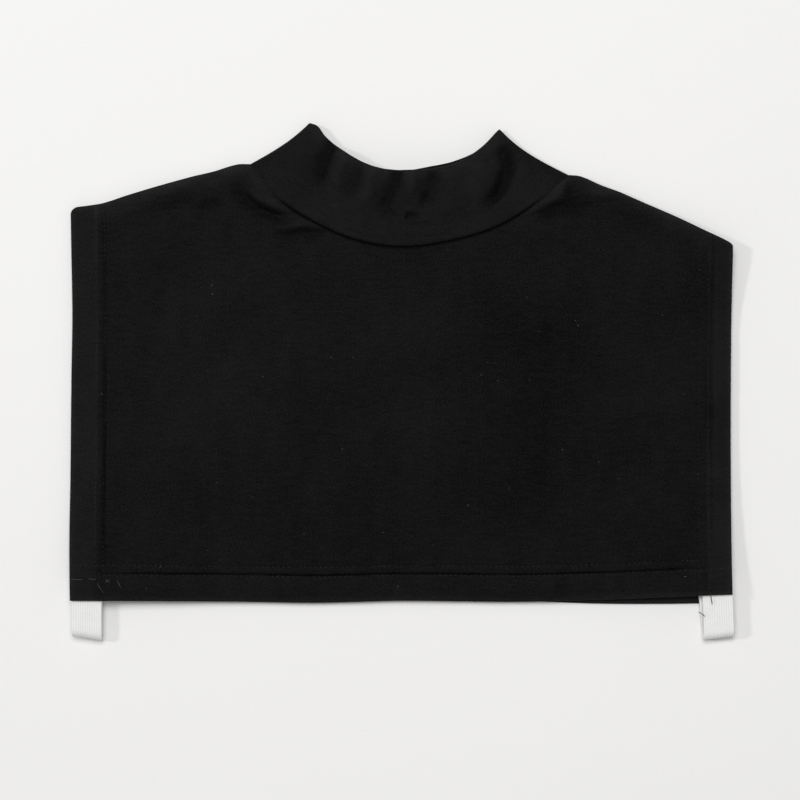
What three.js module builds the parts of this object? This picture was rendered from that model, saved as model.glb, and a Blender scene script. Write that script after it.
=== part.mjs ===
// A turtleneck dickey: a black knit collar with a short front and back panel, joined at the
// shoulders, open at both sides, and held together under the arms by two white elastic loops.
// It lies face up on a surface, as it was put down by hand.
//
// Millimetres. +X is to the right in the view from above, +Y runs from the hem to the collar,
// +Z is up. The surface is at z = 0, and the origin lies on it, under the middle of the outline.

import * as THREE from "three";

// The cloth
const CLOTH = 1.0; // one layer of knit
const HEM_LAYERS = 2; // the cloth turned in along every edge
const SEAM_GAP = 0.3; // between pieces that are sewn to each other

// The panels
const PANEL_WIDTH = 397; // side edge to side edge
const BODY_LENGTH = 264; // hem to the level of the neck points
const SIDE_HEM = 18;
const BOTTOM_HEM = 18;
const SEAM_ALLOWANCE = 8; // turned in along the shoulder and neck seams
const LEFT_SHOULDER_DROP = 26;
const RIGHT_SHOULDER_DROP = 42.5; // this side lies lower
const BACK_INSET = 1.2; // the back's side edges lie this far inside the front's

// The neck
const NECK_WIDTH = 191.6; // neck point to neck point
const NECK_DROP = 52; // from the top of the body's length to the lowest point of the seam
const NECK_OFFSET = 4.8; // the neck lies this far right of the panels' middle
const COLLAR_HEIGHT = 46.5; // seam to folded top edge
const COLLAR_LAYERS = 2; // a band folded along its top edge
const COLLAR_CREASE_HOLLOW = 1.0; // inside the collar's two side folds
const COLLAR_SWELL = 3.2; // how much higher the top edge stands than the seam
const LEFT_WAIST = 3.0; // how far each side fold hollows inwards, half way up
const RIGHT_WAIST = 4.5;
const WAIST_FADE = 5; // how quickly that fades away from the fold
const SWELL_FULLNESS = 0.8; // below 1, the swell spreads towards the side folds

// The air under the front
const AIR = 8; // about the most height between the front and what lies under it
const CORNER_CURL = 7.5; // the right shoulder's corner stands this far off the surface
const CORNER_CURL_REACH = 60;
const FOLD_DEPTH = 2.4;

// The elastic loops
const ELASTIC_WIDTH = 18;
const ELASTIC_THICKNESS = 1.2;
const ELASTIC_INSET = 1.2; // from the side edge
const ELASTIC_DROP = 22.4; // below the hem line
const ELASTIC_SEWN_IN = 12; // held inside the hem
const ELASTIC_CLEARANCE = 0.5;

// The mesh
const RIM_SHARE = 0.22; // how far each face is drawn in at an edge, as a share of the wall
const RIM_RUN = 0.6; // the width of that rounding
const HEM_STEP = 1.2; // the width of the step from two layers to one
const HEM_MIDDLE_SHARE = 0.3; // where a column of points runs down a side hem
const SHOULDER_COLUMNS = 5;
const NECK_COLUMNS = 24;
const FIELD_ROWS = 13;
const ROWS_CROWD_UP = 1.5; // above 1, the rows lie closer together near the neck
const COLLAR_FRONT_STEPS = 34;
const COLLAR_BACK_STEPS = 14;
const COLLAR_ROWS = 8;
const LENGTH_STEPS = 40; // for measuring the length of the collar's threads
const ELASTIC_COLUMNS = 3;
const ELASTIC_LIMB_STEPS = 5;
const ELASTIC_BEND_STEPS = 10;

const NEARLY = 1e-6; // for comparing lengths

const HALF_WIDTH = PANEL_WIDTH / 2;
const HEM_THICKNESS = CLOTH * HEM_LAYERS;
const COLLAR_WALL = CLOTH * COLLAR_LAYERS;
const STACK = HEM_THICKNESS + SEAM_GAP; // the least height of the front's inner face

// The neckline and the collar, from the left neck point to the right one. The seam's place is
// in shares of half the neck's width and of its drop. The collar's own threads lean and rise by
// shares of its height, and its back shows above its front by the last column, a share of that
// height too.
const NECK_SECTIONS = [
  { around: 0.0, across: -1.0, drop: 0.037, lean: 0.784, rise: 0.547, over: 0.0 },
  { around: 0.125, across: -0.823, drop: 0.437, lean: 0.679, rise: 0.74, over: 0.0 },
  { around: 0.25, across: -0.582, drop: 0.725, lean: 0.468, rise: 0.856, over: 0.0 },
  { around: 0.375, across: -0.312, drop: 0.931, lean: 0.227, rise: 0.943, over: 0.0 },
  { around: 0.5, across: -0.022, drop: 1.0, lean: -0.026, rise: 0.987, over: 0.012 },
  { around: 0.625, across: 0.262, drop: 0.925, lean: -0.273, rise: 0.918, over: 0.054 },
  { around: 0.75, across: 0.539, drop: 0.769, lean: -0.506, rise: 0.825, over: 0.049 },
  { around: 0.875, across: 0.792, drop: 0.49, lean: -0.721, rise: 0.707, over: 0.0 },
  { around: 1.0, across: 1.0, drop: 0.164, lean: -0.9, rise: 0.6, over: 0.0 },
];

// The shoulder edges, from the side edge (run 0) to the neck point (run 1), with the drop
// below the neck point as a share of that shoulder's drop.
const LEFT_SHOULDER = [
  { run: 0.0, drop: 1.25 },
  { run: 0.033, drop: 0.995 },
  { run: 0.1, drop: 0.958 },
  { run: 0.188, drop: 0.894 },
  { run: 0.332, drop: 0.7 },
  { run: 0.664, drop: 0.304 },
  { run: 0.8, drop: 0.168 },
  { run: 0.93, drop: 0.009 },
  { run: 1.0, drop: 0.0 },
];
const RIGHT_SHOULDER = [
  { run: 0.0, drop: 1.009 },
  { run: 0.02, drop: 0.959 },
  { run: 0.19, drop: 0.768 },
  { run: 0.383, drop: 0.554 },
  { run: 0.674, drop: 0.26 },
  { run: 0.8, drop: 0.149 },
  { run: 0.93, drop: 0.017 },
  { run: 1.0, drop: 0.0 },
];

// The hems, across in shares of half the width, each panel's rise above the hem line in
// shares of the body's length. The back's hem shows below the front's on the right.
const HEM_LINES = [
  { across: -1.0, front: 0.0025, back: 0.006 },
  { across: -0.5, front: -0.0014, back: 0.003 },
  { across: -0.25, front: -0.0041, back: 0.0 },
  { across: 0.0, front: 0.0004, back: 0.002 },
  { across: 0.35, front: -0.002, back: -0.001 },
  { across: 0.6, front: 0.003, back: -0.0068 },
  { across: 0.8, front: 0.0095, back: -0.0074 },
  { across: 0.92, front: 0.014, back: -0.006 },
  { across: 1.0, front: 0.0165, back: -0.0046 },
];

// How far the side edges stray from straight, in shares of the panel's width.
const SIDE_EDGES = [
  { up: 0.0, left: 0.0011, right: -0.002 },
  { up: 0.15, left: -0.001, right: -0.0024 },
  { up: 0.3, left: 0.0, right: -0.0025 },
  { up: 0.5, left: 0.001, right: -0.0024 },
  { up: 0.65, left: 0.0025, right: -0.0015 },
  { up: 0.8, left: 0.0008, right: -0.001 },
  { up: 1.0, left: -0.0015, right: 0.0 },
];

const STRAY_FADE = 3; // how quickly that fades away from the edge

// The air under the front, in shares of AIR. The loops push the two lower corners up.
const AIR_ROWS = [
  { up: 0.0, leftEdge: 1.16, left: 0.22, middle: 0.16, right: 0.22, rightEdge: 1.16 },
  { up: 0.2, leftEdge: 0.34, left: 0.62, middle: 0.7, right: 0.62, rightEdge: 0.34 },
  { up: 0.45, leftEdge: 0.1, left: 0.72, middle: 0.86, right: 0.72, rightEdge: 0.1 },
  { up: 0.7, leftEdge: 0.08, left: 0.62, middle: 0.9, right: 0.62, rightEdge: 0.08 },
  { up: 0.88, leftEdge: 0.04, left: 0.3, middle: 0.9, right: 0.3, rightEdge: 0.04 },
  { up: 1.0, leftEdge: 0.0, left: 0.0, middle: 0.9, right: 0.0, rightEdge: 0.0 },
];
const AIR_COLUMNS = [
  { across: -1.0, name: "leftEdge" },
  { across: -0.48, name: "left" },
  { across: 0.02, name: "middle" },
  { across: 0.52, name: "right" },
  { across: 1.0, name: "rightEdge" },
];

// Folds in the front, each from one point to another. A point is a share of half the width
// across and a share of the body's length up. Widths are shares of the side hem and heights are
// shares of FOLD_DEPTH, below 0 for a valley.
const FRONT_FOLDS = [
  { name: "neck left", from: [-0.46, 0.93], to: [-0.312, 0.874], width: 0.36, height: -0.9 },
  { name: "neck left ridge", from: [-0.42, 0.87], to: [-0.28, 0.852], width: 0.3, height: 0.45 },
  { name: "breast left", from: [-0.39, 0.826], to: [-0.213, 0.845], width: 0.32, height: -0.7 },
  { name: "shoulder left", from: [-0.47, 0.955], to: [-0.62, 0.9], width: 0.4, height: -0.5 },
  { name: "shoulder outer", from: [-0.64, 0.9], to: [-0.83, 0.882], width: 0.42, height: -0.35 },
  { name: "neck right", from: [0.382, 0.87], to: [0.617, 0.915], width: 0.42, height: -0.85 },
  { name: "shoulder right", from: [0.617, 0.915], to: [0.76, 0.88], width: 0.45, height: -0.35 },
  { name: "low left", from: [-0.86, 0.333], to: [-0.58, 0.338], width: 0.4, height: -0.3 },
];

// Creases in the collar's front. A point is a share of the way round the neck and a share of
// the band's height. Widths are shares of that height and heights are shares of FOLD_DEPTH.
const COLLAR_FOLDS = [
  { name: "tip left", from: [0.11, 1.0], to: [0.18, 0.45], width: 0.14, height: -0.7 },
  { name: "left", from: [0.26, 1.0], to: [0.3, 0.35], width: 0.15, height: -0.6 },
  { name: "left ridge", from: [0.355, 1.0], to: [0.36, 0.4], width: 0.16, height: 0.55 },
  { name: "middle", from: [0.48, 1.0], to: [0.43, 0.5], width: 0.13, height: -0.8 },
  { name: "middle foot", from: [0.43, 0.5], to: [0.47, 0.28], width: 0.13, height: -0.5 },
  { name: "middle ridge", from: [0.53, 1.0], to: [0.51, 0.55], width: 0.1, height: 0.6 },
  { name: "right of middle", from: [0.63, 0.9], to: [0.56, 0.5], width: 0.15, height: -0.55 },
  { name: "drag line", from: [0.49, 0.34], to: [0.58, 0.36], width: 0.09, height: -0.4 },
  { name: "right upper", from: [0.93, 0.82], to: [0.85, 0.55], width: 0.14, height: -1.0 },
  { name: "right lower", from: [0.85, 0.55], to: [0.76, 0.3], width: 0.12, height: -0.75 },
];

// The two loops, with the slant of the lower fold, and how far aside the fold and the back limb
// lie, in shares of width.
const LOOPS = [
  { name: "elastic_left", side: -1, slant: -0.155, foldShift: 0.0, backShift: 0.0 },
  { name: "elastic_right", side: 1, slant: 0.12, foldShift: 0.1, backShift: -0.1 },
];

// The collar's tip is the highest point of the outline, and the loops are the lowest.
const LEFT_TIP = NECK_SECTIONS[0];
const OUTLINE_TOP = BODY_LENGTH - LEFT_TIP.drop * NECK_DROP + LEFT_TIP.rise * COLLAR_HEIGHT;
const LARGEST_SLANT = Math.max(...LOOPS.map((loop) => Math.abs(loop.slant)));
const OUTLINE_BOTTOM = -ELASTIC_DROP - (LARGEST_SLANT * ELASTIC_WIDTH) / 2;
const HEM_Y = -(OUTLINE_TOP + OUTLINE_BOTTOM) / 2;

const BLACK_KNIT = { color: 0x17171a, roughness: 0.95, metalness: 0 };
const WHITE_ELASTIC = { color: 0xe6e6e2, roughness: 0.85, metalness: 0 };

// A table's column as a smooth curve against another of its columns.
function read(rows, key, column, at) {
  const last = rows.length - 1;
  const place = THREE.MathUtils.clamp(at, rows[0][key], rows[last][key]);
  let i = 0;
  while (i < last - 1 && place > rows[i + 1][key]) i += 1;
  const slope = (a, b) => (rows[b][column] - rows[a][column]) / (rows[b][key] - rows[a][key]);
  const run = rows[i + 1][key] - rows[i][key];
  const t = (place - rows[i][key]) / run;
  const leave = slope(Math.max(i - 1, 0), i + 1) * run;
  const arrive = slope(i, Math.min(i + 2, last)) * run;
  return (
    (2 * t ** 3 - 3 * t ** 2 + 1) * rows[i][column] +
    (t ** 3 - 2 * t ** 2 + t) * leave +
    (3 * t ** 2 - 2 * t ** 3) * rows[i + 1][column] +
    (t ** 3 - t ** 2) * arrive
  );
}

const ramp = (at, from, to) => THREE.MathUtils.smoothstep(at, from, to);
const mix = THREE.MathUtils.lerp;

// A table's row at a place, as an object with the same columns.
function section(rows, key, at) {
  const found = {};
  for (const column of Object.keys(rows[0])) {
    found[column] = column === key ? at : read(rows, key, column, at);
  }
  return found;
}

// The neckline's point, and the point of the collar that stands over it at a share of its height.
function collarPoint(around, up, side = 1) {
  const s = section(NECK_SECTIONS, "around", around);
  const waist = around < 0.5 ? LEFT_WAIST : RIGHT_WAIST;
  const hollow = waist * Math.sin(Math.PI * up) * (1 - 2 * around) ** WAIST_FADE;
  const height = COLLAR_HEIGHT * up * (side > 0 ? 1 : 1 + s.over);
  return new THREE.Vector2(
    NECK_OFFSET + (s.across * NECK_WIDTH) / 2 + s.lean * height + hollow,
    HEM_Y + BODY_LENGTH - s.drop * NECK_DROP + s.rise * height,
  );
}

// A gentle hill or valley along a line, 1 on the line and 0 well away from it.
function crease(point, from, to, width) {
  const run = to.clone().sub(from);
  const share = THREE.MathUtils.clamp(point.clone().sub(from).dot(run) / run.lengthSq(), 0, 1);
  const away = point.distanceTo(from.clone().add(run.multiplyScalar(share)));
  return Math.exp(-((away / width) ** 2));
}

// The front and its folds

function air(x, y) {
  const up = (y - HEM_Y) / BODY_LENGTH;
  const columns = AIR_COLUMNS.map((c) => ({
    across: c.across,
    share: read(AIR_ROWS, "up", c.name, up),
  }));
  return AIR * read(columns, "across", "share", x / HALF_WIDTH);
}

function frontFolds(x, y) {
  const place = ([across, up]) => new THREE.Vector2(across * HALF_WIDTH, HEM_Y + up * BODY_LENGTH);
  let height = 0;
  for (const f of FRONT_FOLDS) {
    const here = new THREE.Vector2(x, y);
    height += FOLD_DEPTH * f.height * crease(here, place(f.from), place(f.to), f.width * SIDE_HEM);
  }
  return height;
}

// The right shoulder's corner curls up off the surface, with both panels in it.
function curl(x, y) {
  const corner = new THREE.Vector2(HALF_WIDTH, HEM_Y + BODY_LENGTH - RIGHT_SHOULDER_DROP);
  const away = corner.distanceTo(new THREE.Vector2(x, y));
  return CORNER_CURL * (1 - ramp(away, 0, CORNER_CURL_REACH));
}

// Each panel's outer face is smooth, with its hems turned in towards the other panel. These are
// the two faces of the hems that look at each other.
function backInnerFace(x, y) {
  return curl(x, y) + HEM_THICKNESS;
}

function frontInnerFace(x, y) {
  return curl(x, y) + STACK + Math.max(0, air(x, y) + frontFolds(x, y));
}

// Meshes

// A closed wall between two grids of points, outside[i][j] and inside[i][j]. Seen from outside,
// j runs to the left of i. The grid may close on itself along i.
function wall(outside, inside, closed = false) {
  const across = outside.length;
  const along = outside[0].length;
  const points = [...outside.flat(), ...inside.flat()];
  const index = [];
  const out = (i, j) => (i % across) * along + j;
  const inn = (i, j) => across * along + out(i, j);
  const quad = (a, b, c, d) => index.push(a, b, c, a, c, d);
  const spans = closed ? across : across - 1;
  for (let i = 0; i < spans; i += 1) {
    for (let j = 0; j < along - 1; j += 1) {
      quad(out(i, j), out(i + 1, j), out(i + 1, j + 1), out(i, j + 1));
      quad(inn(i, j), inn(i, j + 1), inn(i + 1, j + 1), inn(i + 1, j));
    }
    quad(inn(i, 0), inn(i + 1, 0), out(i + 1, 0), out(i, 0));
    quad(out(i, along - 1), out(i + 1, along - 1), inn(i + 1, along - 1), inn(i, along - 1));
  }
  for (let j = 0; !closed && j < along - 1; j += 1) {
    quad(out(0, j), out(0, j + 1), inn(0, j + 1), inn(0, j));
    quad(inn(spans, j), inn(spans, j + 1), out(spans, j + 1), out(spans, j));
  }
  const geometry = new THREE.BufferGeometry().setFromPoints(points);
  geometry.setIndex(index);
  geometry.computeVertexNormals();
  return geometry;
}

// Draws both faces in towards each other along the grid's edges, as a fold or a cut edge is.
function roundRim(outside, inside, ends = ["i", "j"]) {
  const last = { i: outside.length - 1, j: outside[0].length - 1 };
  outside.forEach((line, i) =>
    line.forEach((point, j) => {
      const at = { i, j };
      if (!ends.some((end) => at[end] === 0 || at[end] === last[end])) return;
      const other = inside[i][j].clone();
      inside[i][j].lerp(point, RIM_SHARE);
      point.lerp(other, RIM_SHARE);
    }),
  );
}

function named(name, geometry, finish) {
  const mesh = new THREE.Mesh(geometry, new THREE.MeshStandardMaterial(finish));
  mesh.name = name;
  return mesh;
}

// Panels

// The top edge of a panel at each column, and the columns' places across it.
function panelColumns(inset) {
  const columns = [];
  const shoulder = (side, table, drop, neck) => {
    const edge = side * (HALF_WIDTH - inset);
    const at = (x) => {
      const run = (x - edge) / (neck.x - edge);
      columns.push({ x, top: neck.y - drop * read(table, "run", "drop", run) });
    };
    const field = edge - side * (SIDE_HEM + HEM_STEP);
    const inHem = [0, RIM_RUN, SIDE_HEM * HEM_MIDDLE_SHARE, SIDE_HEM];
    for (const distance of inHem) at(edge - side * distance);
    for (let k = 0; k < SHOULDER_COLUMNS; k += 1) at(mix(field, neck.x, k / SHOULDER_COLUMNS));
  };
  shoulder(-1, LEFT_SHOULDER, LEFT_SHOULDER_DROP, collarPoint(0, 0));
  for (let k = 0; k <= NECK_COLUMNS; k += 1) {
    const seam = collarPoint(k / NECK_COLUMNS, 0);
    columns.push({ x: seam.x, top: seam.y });
  }
  const left = columns.splice(0);
  shoulder(1, RIGHT_SHOULDER, RIGHT_SHOULDER_DROP, collarPoint(1, 0));
  return [...left, ...columns.reverse()];
}

// The rows of a column, from the hem to the top edge.
function panelRows(bottom, top) {
  const low = bottom + BOTTOM_HEM + HEM_STEP;
  const high = top - SEAM_ALLOWANCE - HEM_STEP;
  const rows = [bottom, bottom + RIM_RUN, bottom + BOTTOM_HEM];
  for (let k = 0; k <= FIELD_ROWS; k += 1) {
    rows.push(mix(low, high, 1 - (1 - k / FIELD_ROWS) ** ROWS_CROWD_UP));
  }
  return [...rows, top - SEAM_ALLOWANCE, top - RIM_RUN, top];
}

// A panel between its outer face and the inner one, which steps back where the cloth is single.
// The inner face looks up in the back and down in the front.
function panel({ name, hemColumn, inset, hemFace, looks }) {
  const upper = [];
  const lower = [];
  for (const { x, top } of panelColumns(inset)) {
    const rise = read(HEM_LINES, "across", hemColumn, x / HALF_WIDTH);
    const bottom = HEM_Y + rise * BODY_LENGTH;
    const toSide = HALF_WIDTH - inset - Math.abs(x);
    upper.push([]);
    lower.push([]);
    for (const y of panelRows(bottom, top)) {
      const turnedIn =
        toSide <= SIDE_HEM + NEARLY ||
        y - bottom <= BOTTOM_HEM + NEARLY ||
        top - y <= SEAM_ALLOWANCE + NEARLY;
      const stray = section(SIDE_EDGES, "up", (y - HEM_Y) / BODY_LENGTH);
      const share = Math.abs(x / HALF_WIDTH) ** STRAY_FADE * (x < 0 ? stray.left : stray.right);
      const shifted = x + share * PANEL_WIDTH;
      const inner = hemFace(shifted, y);
      const outer = inner - looks * HEM_THICKNESS;
      const faces = [outer, turnedIn ? inner : outer + looks * CLOTH];
      upper.at(-1).push(new THREE.Vector3(shifted, y, Math.max(...faces)));
      lower.at(-1).push(new THREE.Vector3(shifted, y, Math.min(...faces)));
    }
  }
  roundRim(upper, lower);
  return named(name, wall(upper, lower), BLACK_KNIT);
}

const PANELS = [
  { name: "back_panel", hemColumn: "back", inset: BACK_INSET, hemFace: backInnerFace, looks: 1 },
  { name: "front_panel", hemColumn: "front", inset: 0, hemFace: frontInnerFace, looks: -1 },
];

// Collar

const BEND_RADIUS = COLLAR_WALL + COLLAR_CREASE_HOLLOW / 2; // outside, at the two side folds
const BEND_STEPS = 3; // to a quarter turn

function rowLength(up) {
  let length = 0;
  for (let k = 0; k < LENGTH_STEPS; k += 1) {
    length += collarPoint(k / LENGTH_STEPS, up).distanceTo(collarPoint((k + 1) / LENGTH_STEPS, up));
  }
  return length;
}

// The height of the collar's front above the surface, on its inner face.
function collarInnerFace(around, up, length) {
  const seam = collarPoint(around, 0);
  const bell = Math.sin(Math.PI * around) ** SWELL_FULLNESS;
  const place = ([a, u]) => new THREE.Vector2(a * length, u * COLLAR_HEIGHT);
  const here = place([around, up]);
  let height = frontInnerFace(seam.x, seam.y) + COLLAR_SWELL * bell * up;
  for (const f of COLLAR_FOLDS) {
    const width = f.width * COLLAR_HEIGHT;
    height += FOLD_DEPTH * f.height * crease(here, place(f.from), place(f.to), width);
  }
  return Math.max(COLLAR_WALL + COLLAR_CREASE_HOLLOW, height);
}

// The stations round the collar: the bend at the left fold, the front, the right bend, the back.
// Each has the side it lies on (1 front, -1 back), its turn round a bend (0 at the fold's edge,
// 1 where the bend ends), and its share of the run between the two bends.
function collarStations() {
  const stations = [];
  const bend = (run, side, turns) => {
    for (const k of turns) stations.push({ side, turn: k / BEND_STEPS, run });
  };
  const steps = Array.from({ length: BEND_STEPS }, (_, k) => k);
  bend(0, 1, steps);
  for (let k = 0; k <= COLLAR_FRONT_STEPS; k += 1) {
    stations.push({ side: 1, turn: 1, run: k / COLLAR_FRONT_STEPS });
  }
  bend(1, 1, steps.toReversed());
  bend(1, -1, steps.slice(1));
  for (let k = COLLAR_BACK_STEPS; k >= 0; k -= 1) {
    stations.push({ side: -1, turn: 1, run: k / COLLAR_BACK_STEPS });
  }
  bend(0, -1, steps.toReversed().slice(0, -1));
  return stations;
}

// One station's outer and inner point at a share of the collar's height.
function collarPair({ side, turn, run }, up, length) {
  const angle = (turn * Math.PI) / 2;
  const middle = BEND_RADIUS;
  const hollow = COLLAR_CREASE_HOLLOW / 2;
  const place = (radius) => {
    const fromFold = BEND_RADIUS - radius * Math.cos(angle);
    const along = run === 0 || run === 1 ? fromFold : BEND_RADIUS + run * (length - 2 * BEND_RADIUS);
    return run === 1 ? 1 - fromFold / length : along / length;
  };
  const point = (radius, flatHeight) => {
    const around = place(radius);
    const plan = collarPoint(around, up, side);
    const z = turn === 1 ? flatHeight : middle + side * radius * Math.sin(angle);
    return new THREE.Vector3(plan.x, plan.y, z);
  };
  const inner = collarInnerFace(place(hollow), up, length);
  return side > 0
    ? { outer: point(BEND_RADIUS, inner + COLLAR_WALL), inner: point(hollow, inner) }
    : { outer: point(BEND_RADIUS, 0), inner: point(hollow, COLLAR_WALL) };
}

function collar() {
  const rows = [SEAM_GAP / COLLAR_HEIGHT];
  for (let k = 1; k < COLLAR_ROWS; k += 1) rows.push(k / COLLAR_ROWS);
  rows.push(1 - RIM_RUN / COLLAR_HEIGHT, 1);
  const outside = [];
  const inside = [];
  for (const station of collarStations()) {
    const pairs = rows.map((up) => collarPair(station, up, rowLength(up)));
    outside.push(pairs.map((p) => p.outer));
    inside.push(pairs.map((p) => p.inner));
  }
  roundRim(outside, inside, ["j"]);
  return named("collar", wall(outside, inside, true), BLACK_KNIT);
}

// Elastic loops

// The middle of the elastic's thickness, seen from the side: along the back's hem, out under
// the loop, round its end and back under the front's hem.
function loopPath(x, slant) {
  const half = ELASTIC_THICKNESS / 2;
  const hem = (column) => HEM_Y + read(HEM_LINES, "across", column, x / HALF_WIDTH) * BODY_LENGTH;
  const backHem = hem("back");
  const frontHem = hem("front");
  const low = (y) => backInnerFace(x, y) + ELASTIC_CLEARANCE + half;
  const high = (y) => frontInnerFace(x, y) - ELASTIC_CLEARANCE - half;
  const top = high(frontHem);
  const radius = (top - half) / 2;
  const centre = new THREE.Vector2(HEM_Y - ELASTIC_DROP + half + radius + slant, half + radius);
  const path = [];
  const limb = (from, to, height) => {
    for (let k = 0; k < ELASTIC_LIMB_STEPS; k += 1) {
      const y = mix(from, to, k / ELASTIC_LIMB_STEPS);
      path.push(new THREE.Vector2(y, height(y)));
    }
  };
  limb(backHem + ELASTIC_SEWN_IN, backHem, low);
  limb(backHem, centre.x, (y) => mix(half, low(backHem), ramp(y, centre.x, backHem)));
  for (let k = 0; k <= ELASTIC_BEND_STEPS; k += 1) {
    const angle = -Math.PI / 2 - (Math.PI * k) / ELASTIC_BEND_STEPS;
    const offset = new THREE.Vector2(Math.cos(angle), Math.sin(angle)).multiplyScalar(radius);
    path.push(centre.clone().add(offset));
  }
  limb(mix(centre.x, frontHem, 1 / ELASTIC_LIMB_STEPS), frontHem, () => top);
  limb(frontHem, frontHem + ELASTIC_SEWN_IN, high);
  path.push(new THREE.Vector2(frontHem + ELASTIC_SEWN_IN, high(frontHem + ELASTIC_SEWN_IN)));
  return path;
}

function elasticLoop({ name, side, slant, foldShift, backShift }) {
  const shifts = [
    { along: 0, shift: backShift },
    { along: 0.5, shift: foldShift },
    { along: 1, shift: 0 },
  ];
  const middle = side * (HALF_WIDTH - ELASTIC_INSET - ELASTIC_WIDTH / 2);
  const outside = [];
  const inside = [];
  for (let i = 0; i < ELASTIC_COLUMNS; i += 1) {
    const share = i / (ELASTIC_COLUMNS - 1) - 0.5;
    const x = middle + share * ELASTIC_WIDTH;
    const path = loopPath(x, slant * share * ELASTIC_WIDTH);
    const place = (j, offset) => {
      const before = path[Math.max(j - 1, 0)];
      const after = path[Math.min(j + 1, path.length - 1)];
      const run = after.clone().sub(before).normalize();
      const shift = ELASTIC_WIDTH * read(shifts, "along", "shift", j / (path.length - 1));
      const y = path[j].x - run.y * offset;
      const z = path[j].y + run.x * offset;
      return new THREE.Vector3(x + shift, y, z);
    };
    outside.push(path.map((_, j) => place(j, ELASTIC_THICKNESS / 2)));
    inside.push(path.map((_, j) => place(j, -ELASTIC_THICKNESS / 2)));
  }
  return named(name, wall(outside, inside), WHITE_ELASTIC);
}

const dickey = new THREE.Group();
dickey.name = "turtleneck_dickey";
dickey.add(...PANELS.map(panel), collar(), ...LOOPS.map(elasticLoop));

export default dickey;
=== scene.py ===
# %% [markdown]
# # A turtleneck dickey, laid flat
#
# A dickey is the part of a pullover that shows inside another garment: a collar, with just
# enough front and back to stay put. This one is black cotton jersey with a low folded collar,
# and two white elastic loops hold its front and back together under the arms. It lies face up,
# as it was put down by hand.
#
# The solids of the collar, the panels and the loops are loaded first. They give each piece its
# place, and every piece of cloth made below stands in for one of them.

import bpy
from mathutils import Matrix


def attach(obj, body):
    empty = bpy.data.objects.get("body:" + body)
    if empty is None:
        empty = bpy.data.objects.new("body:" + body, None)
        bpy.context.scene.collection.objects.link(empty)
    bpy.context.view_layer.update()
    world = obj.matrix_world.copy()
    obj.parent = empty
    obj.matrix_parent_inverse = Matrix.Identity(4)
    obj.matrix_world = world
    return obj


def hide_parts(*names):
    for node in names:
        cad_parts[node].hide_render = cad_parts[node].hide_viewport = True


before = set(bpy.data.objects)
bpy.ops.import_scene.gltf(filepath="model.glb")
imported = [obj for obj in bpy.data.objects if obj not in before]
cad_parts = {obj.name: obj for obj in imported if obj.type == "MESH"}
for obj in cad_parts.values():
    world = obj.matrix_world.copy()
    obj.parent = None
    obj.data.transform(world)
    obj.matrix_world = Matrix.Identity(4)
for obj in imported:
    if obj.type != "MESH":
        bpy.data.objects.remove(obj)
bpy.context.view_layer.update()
print("solids:", ", ".join(sorted(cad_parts)))

# %% The other modules
import math

import bpy
import numpy as np

MM = 0.001  # the scene is in metres, and the garment's own sizes are in millimetres
print("a millimetre is", MM)

# %% [markdown]
# ## The camera
#
# The garment lies on its back and is seen from straight above. A long lens high up keeps
# the edges as straight as a flat cutting pattern, and still lets a raised corner look a touch
# bigger than one that lies on the table.

# %% The camera
FIELD = 480.0  # what the square picture takes in, in millimetres, at the cloth's height
LENS = 120.0
SENSOR = 36.0
LOOKS_AT = (-0.9, -11.3, 4.0)  # the middle of the picture
SEES_TO = 20.0  # in metres


def show(name, data):
    """Puts a mesh, a lamp or a camera into the scene."""
    thing = bpy.data.objects.new(name, data)
    bpy.context.scene.collection.objects.link(thing)
    return thing


camera_data = bpy.data.cameras.new("camera")
camera_data.lens = LENS
camera_data.sensor_width = SENSOR
camera_data.clip_end = SEES_TO
camera = show("camera", camera_data)
camera_height = LOOKS_AT[2] + FIELD * LENS / SENSOR
camera.location = (LOOKS_AT[0] * MM, LOOKS_AT[1] * MM, camera_height * MM)
bpy.context.scene.camera = camera
print(f"camera {camera_height:.0f} mm above the table")

# %% [markdown]
# ## The pattern
#
# A tailor draws the garment from a few measures, and so does this script. Lengths along the
# outline are kept as shares of those measures, in short tables, and a smooth curve runs through
# the rows of each table. A spline through every point of a traced outline would do it too, but
# nobody could then change the neck or the shoulders by changing one number.

# %% Measures
CLOTH = 1.0
WALL = 2 * CLOTH  # a turned hem, or the folded band of the collar
SEAM_GAP = 0.3
PANEL_WIDTH = 397.0
HALF_WIDTH = PANEL_WIDTH / 2
BODY_LENGTH = 264.0
SIDE_HEM = 18.0
BOTTOM_HEM = 18.0
SEAM_ALLOWANCE = 8.0
HEM_STEP = 1.2  # the width of the step from two layers to one
LEFT_DROP = 26.0
RIGHT_DROP = 42.5
BACK_INSET = 1.2
NECK_WIDTH = 191.6
NECK_DROP = 52.0
NECK_OFFSET = 4.8
COLLAR_HEIGHT = 46.5
LEFT_WAIST = 3.0  # how far each side fold hollows inwards, half way up
RIGHT_WAIST = 4.5
WAIST_FADE = 5  # how quickly that fades away from the fold
COLLAR_SWELL = 3.2
# The left tip's edge: where each change is round the neck, how far it reaches, and its height.
TIP_SHAPE = [
    (0.0, 0.014, -1.0),  # blunted
    (0.042, 0.03, 1.2),  # bulging beside it
]
TIP_FADE = 12  # how quickly they fade below the edge
CREASE_HOLLOW = 1.0
AIR = 8.0
CORNER_CURL = 7.5
CORNER_CURL_REACH = 60.0
STACK = WALL + SEAM_GAP

ELASTIC_WIDTH = 18.0
ELASTIC_THICKNESS = 1.2
ELASTIC_INSET = 1.2
ELASTIC_DROP = 22.4
ELASTIC_SEWN_IN = 12.0
ELASTIC_CLEARANCE = 0.5
LARGEST_SLANT = 0.155
TIP_DROP = 0.037
TIP_RISE = 0.547

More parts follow.
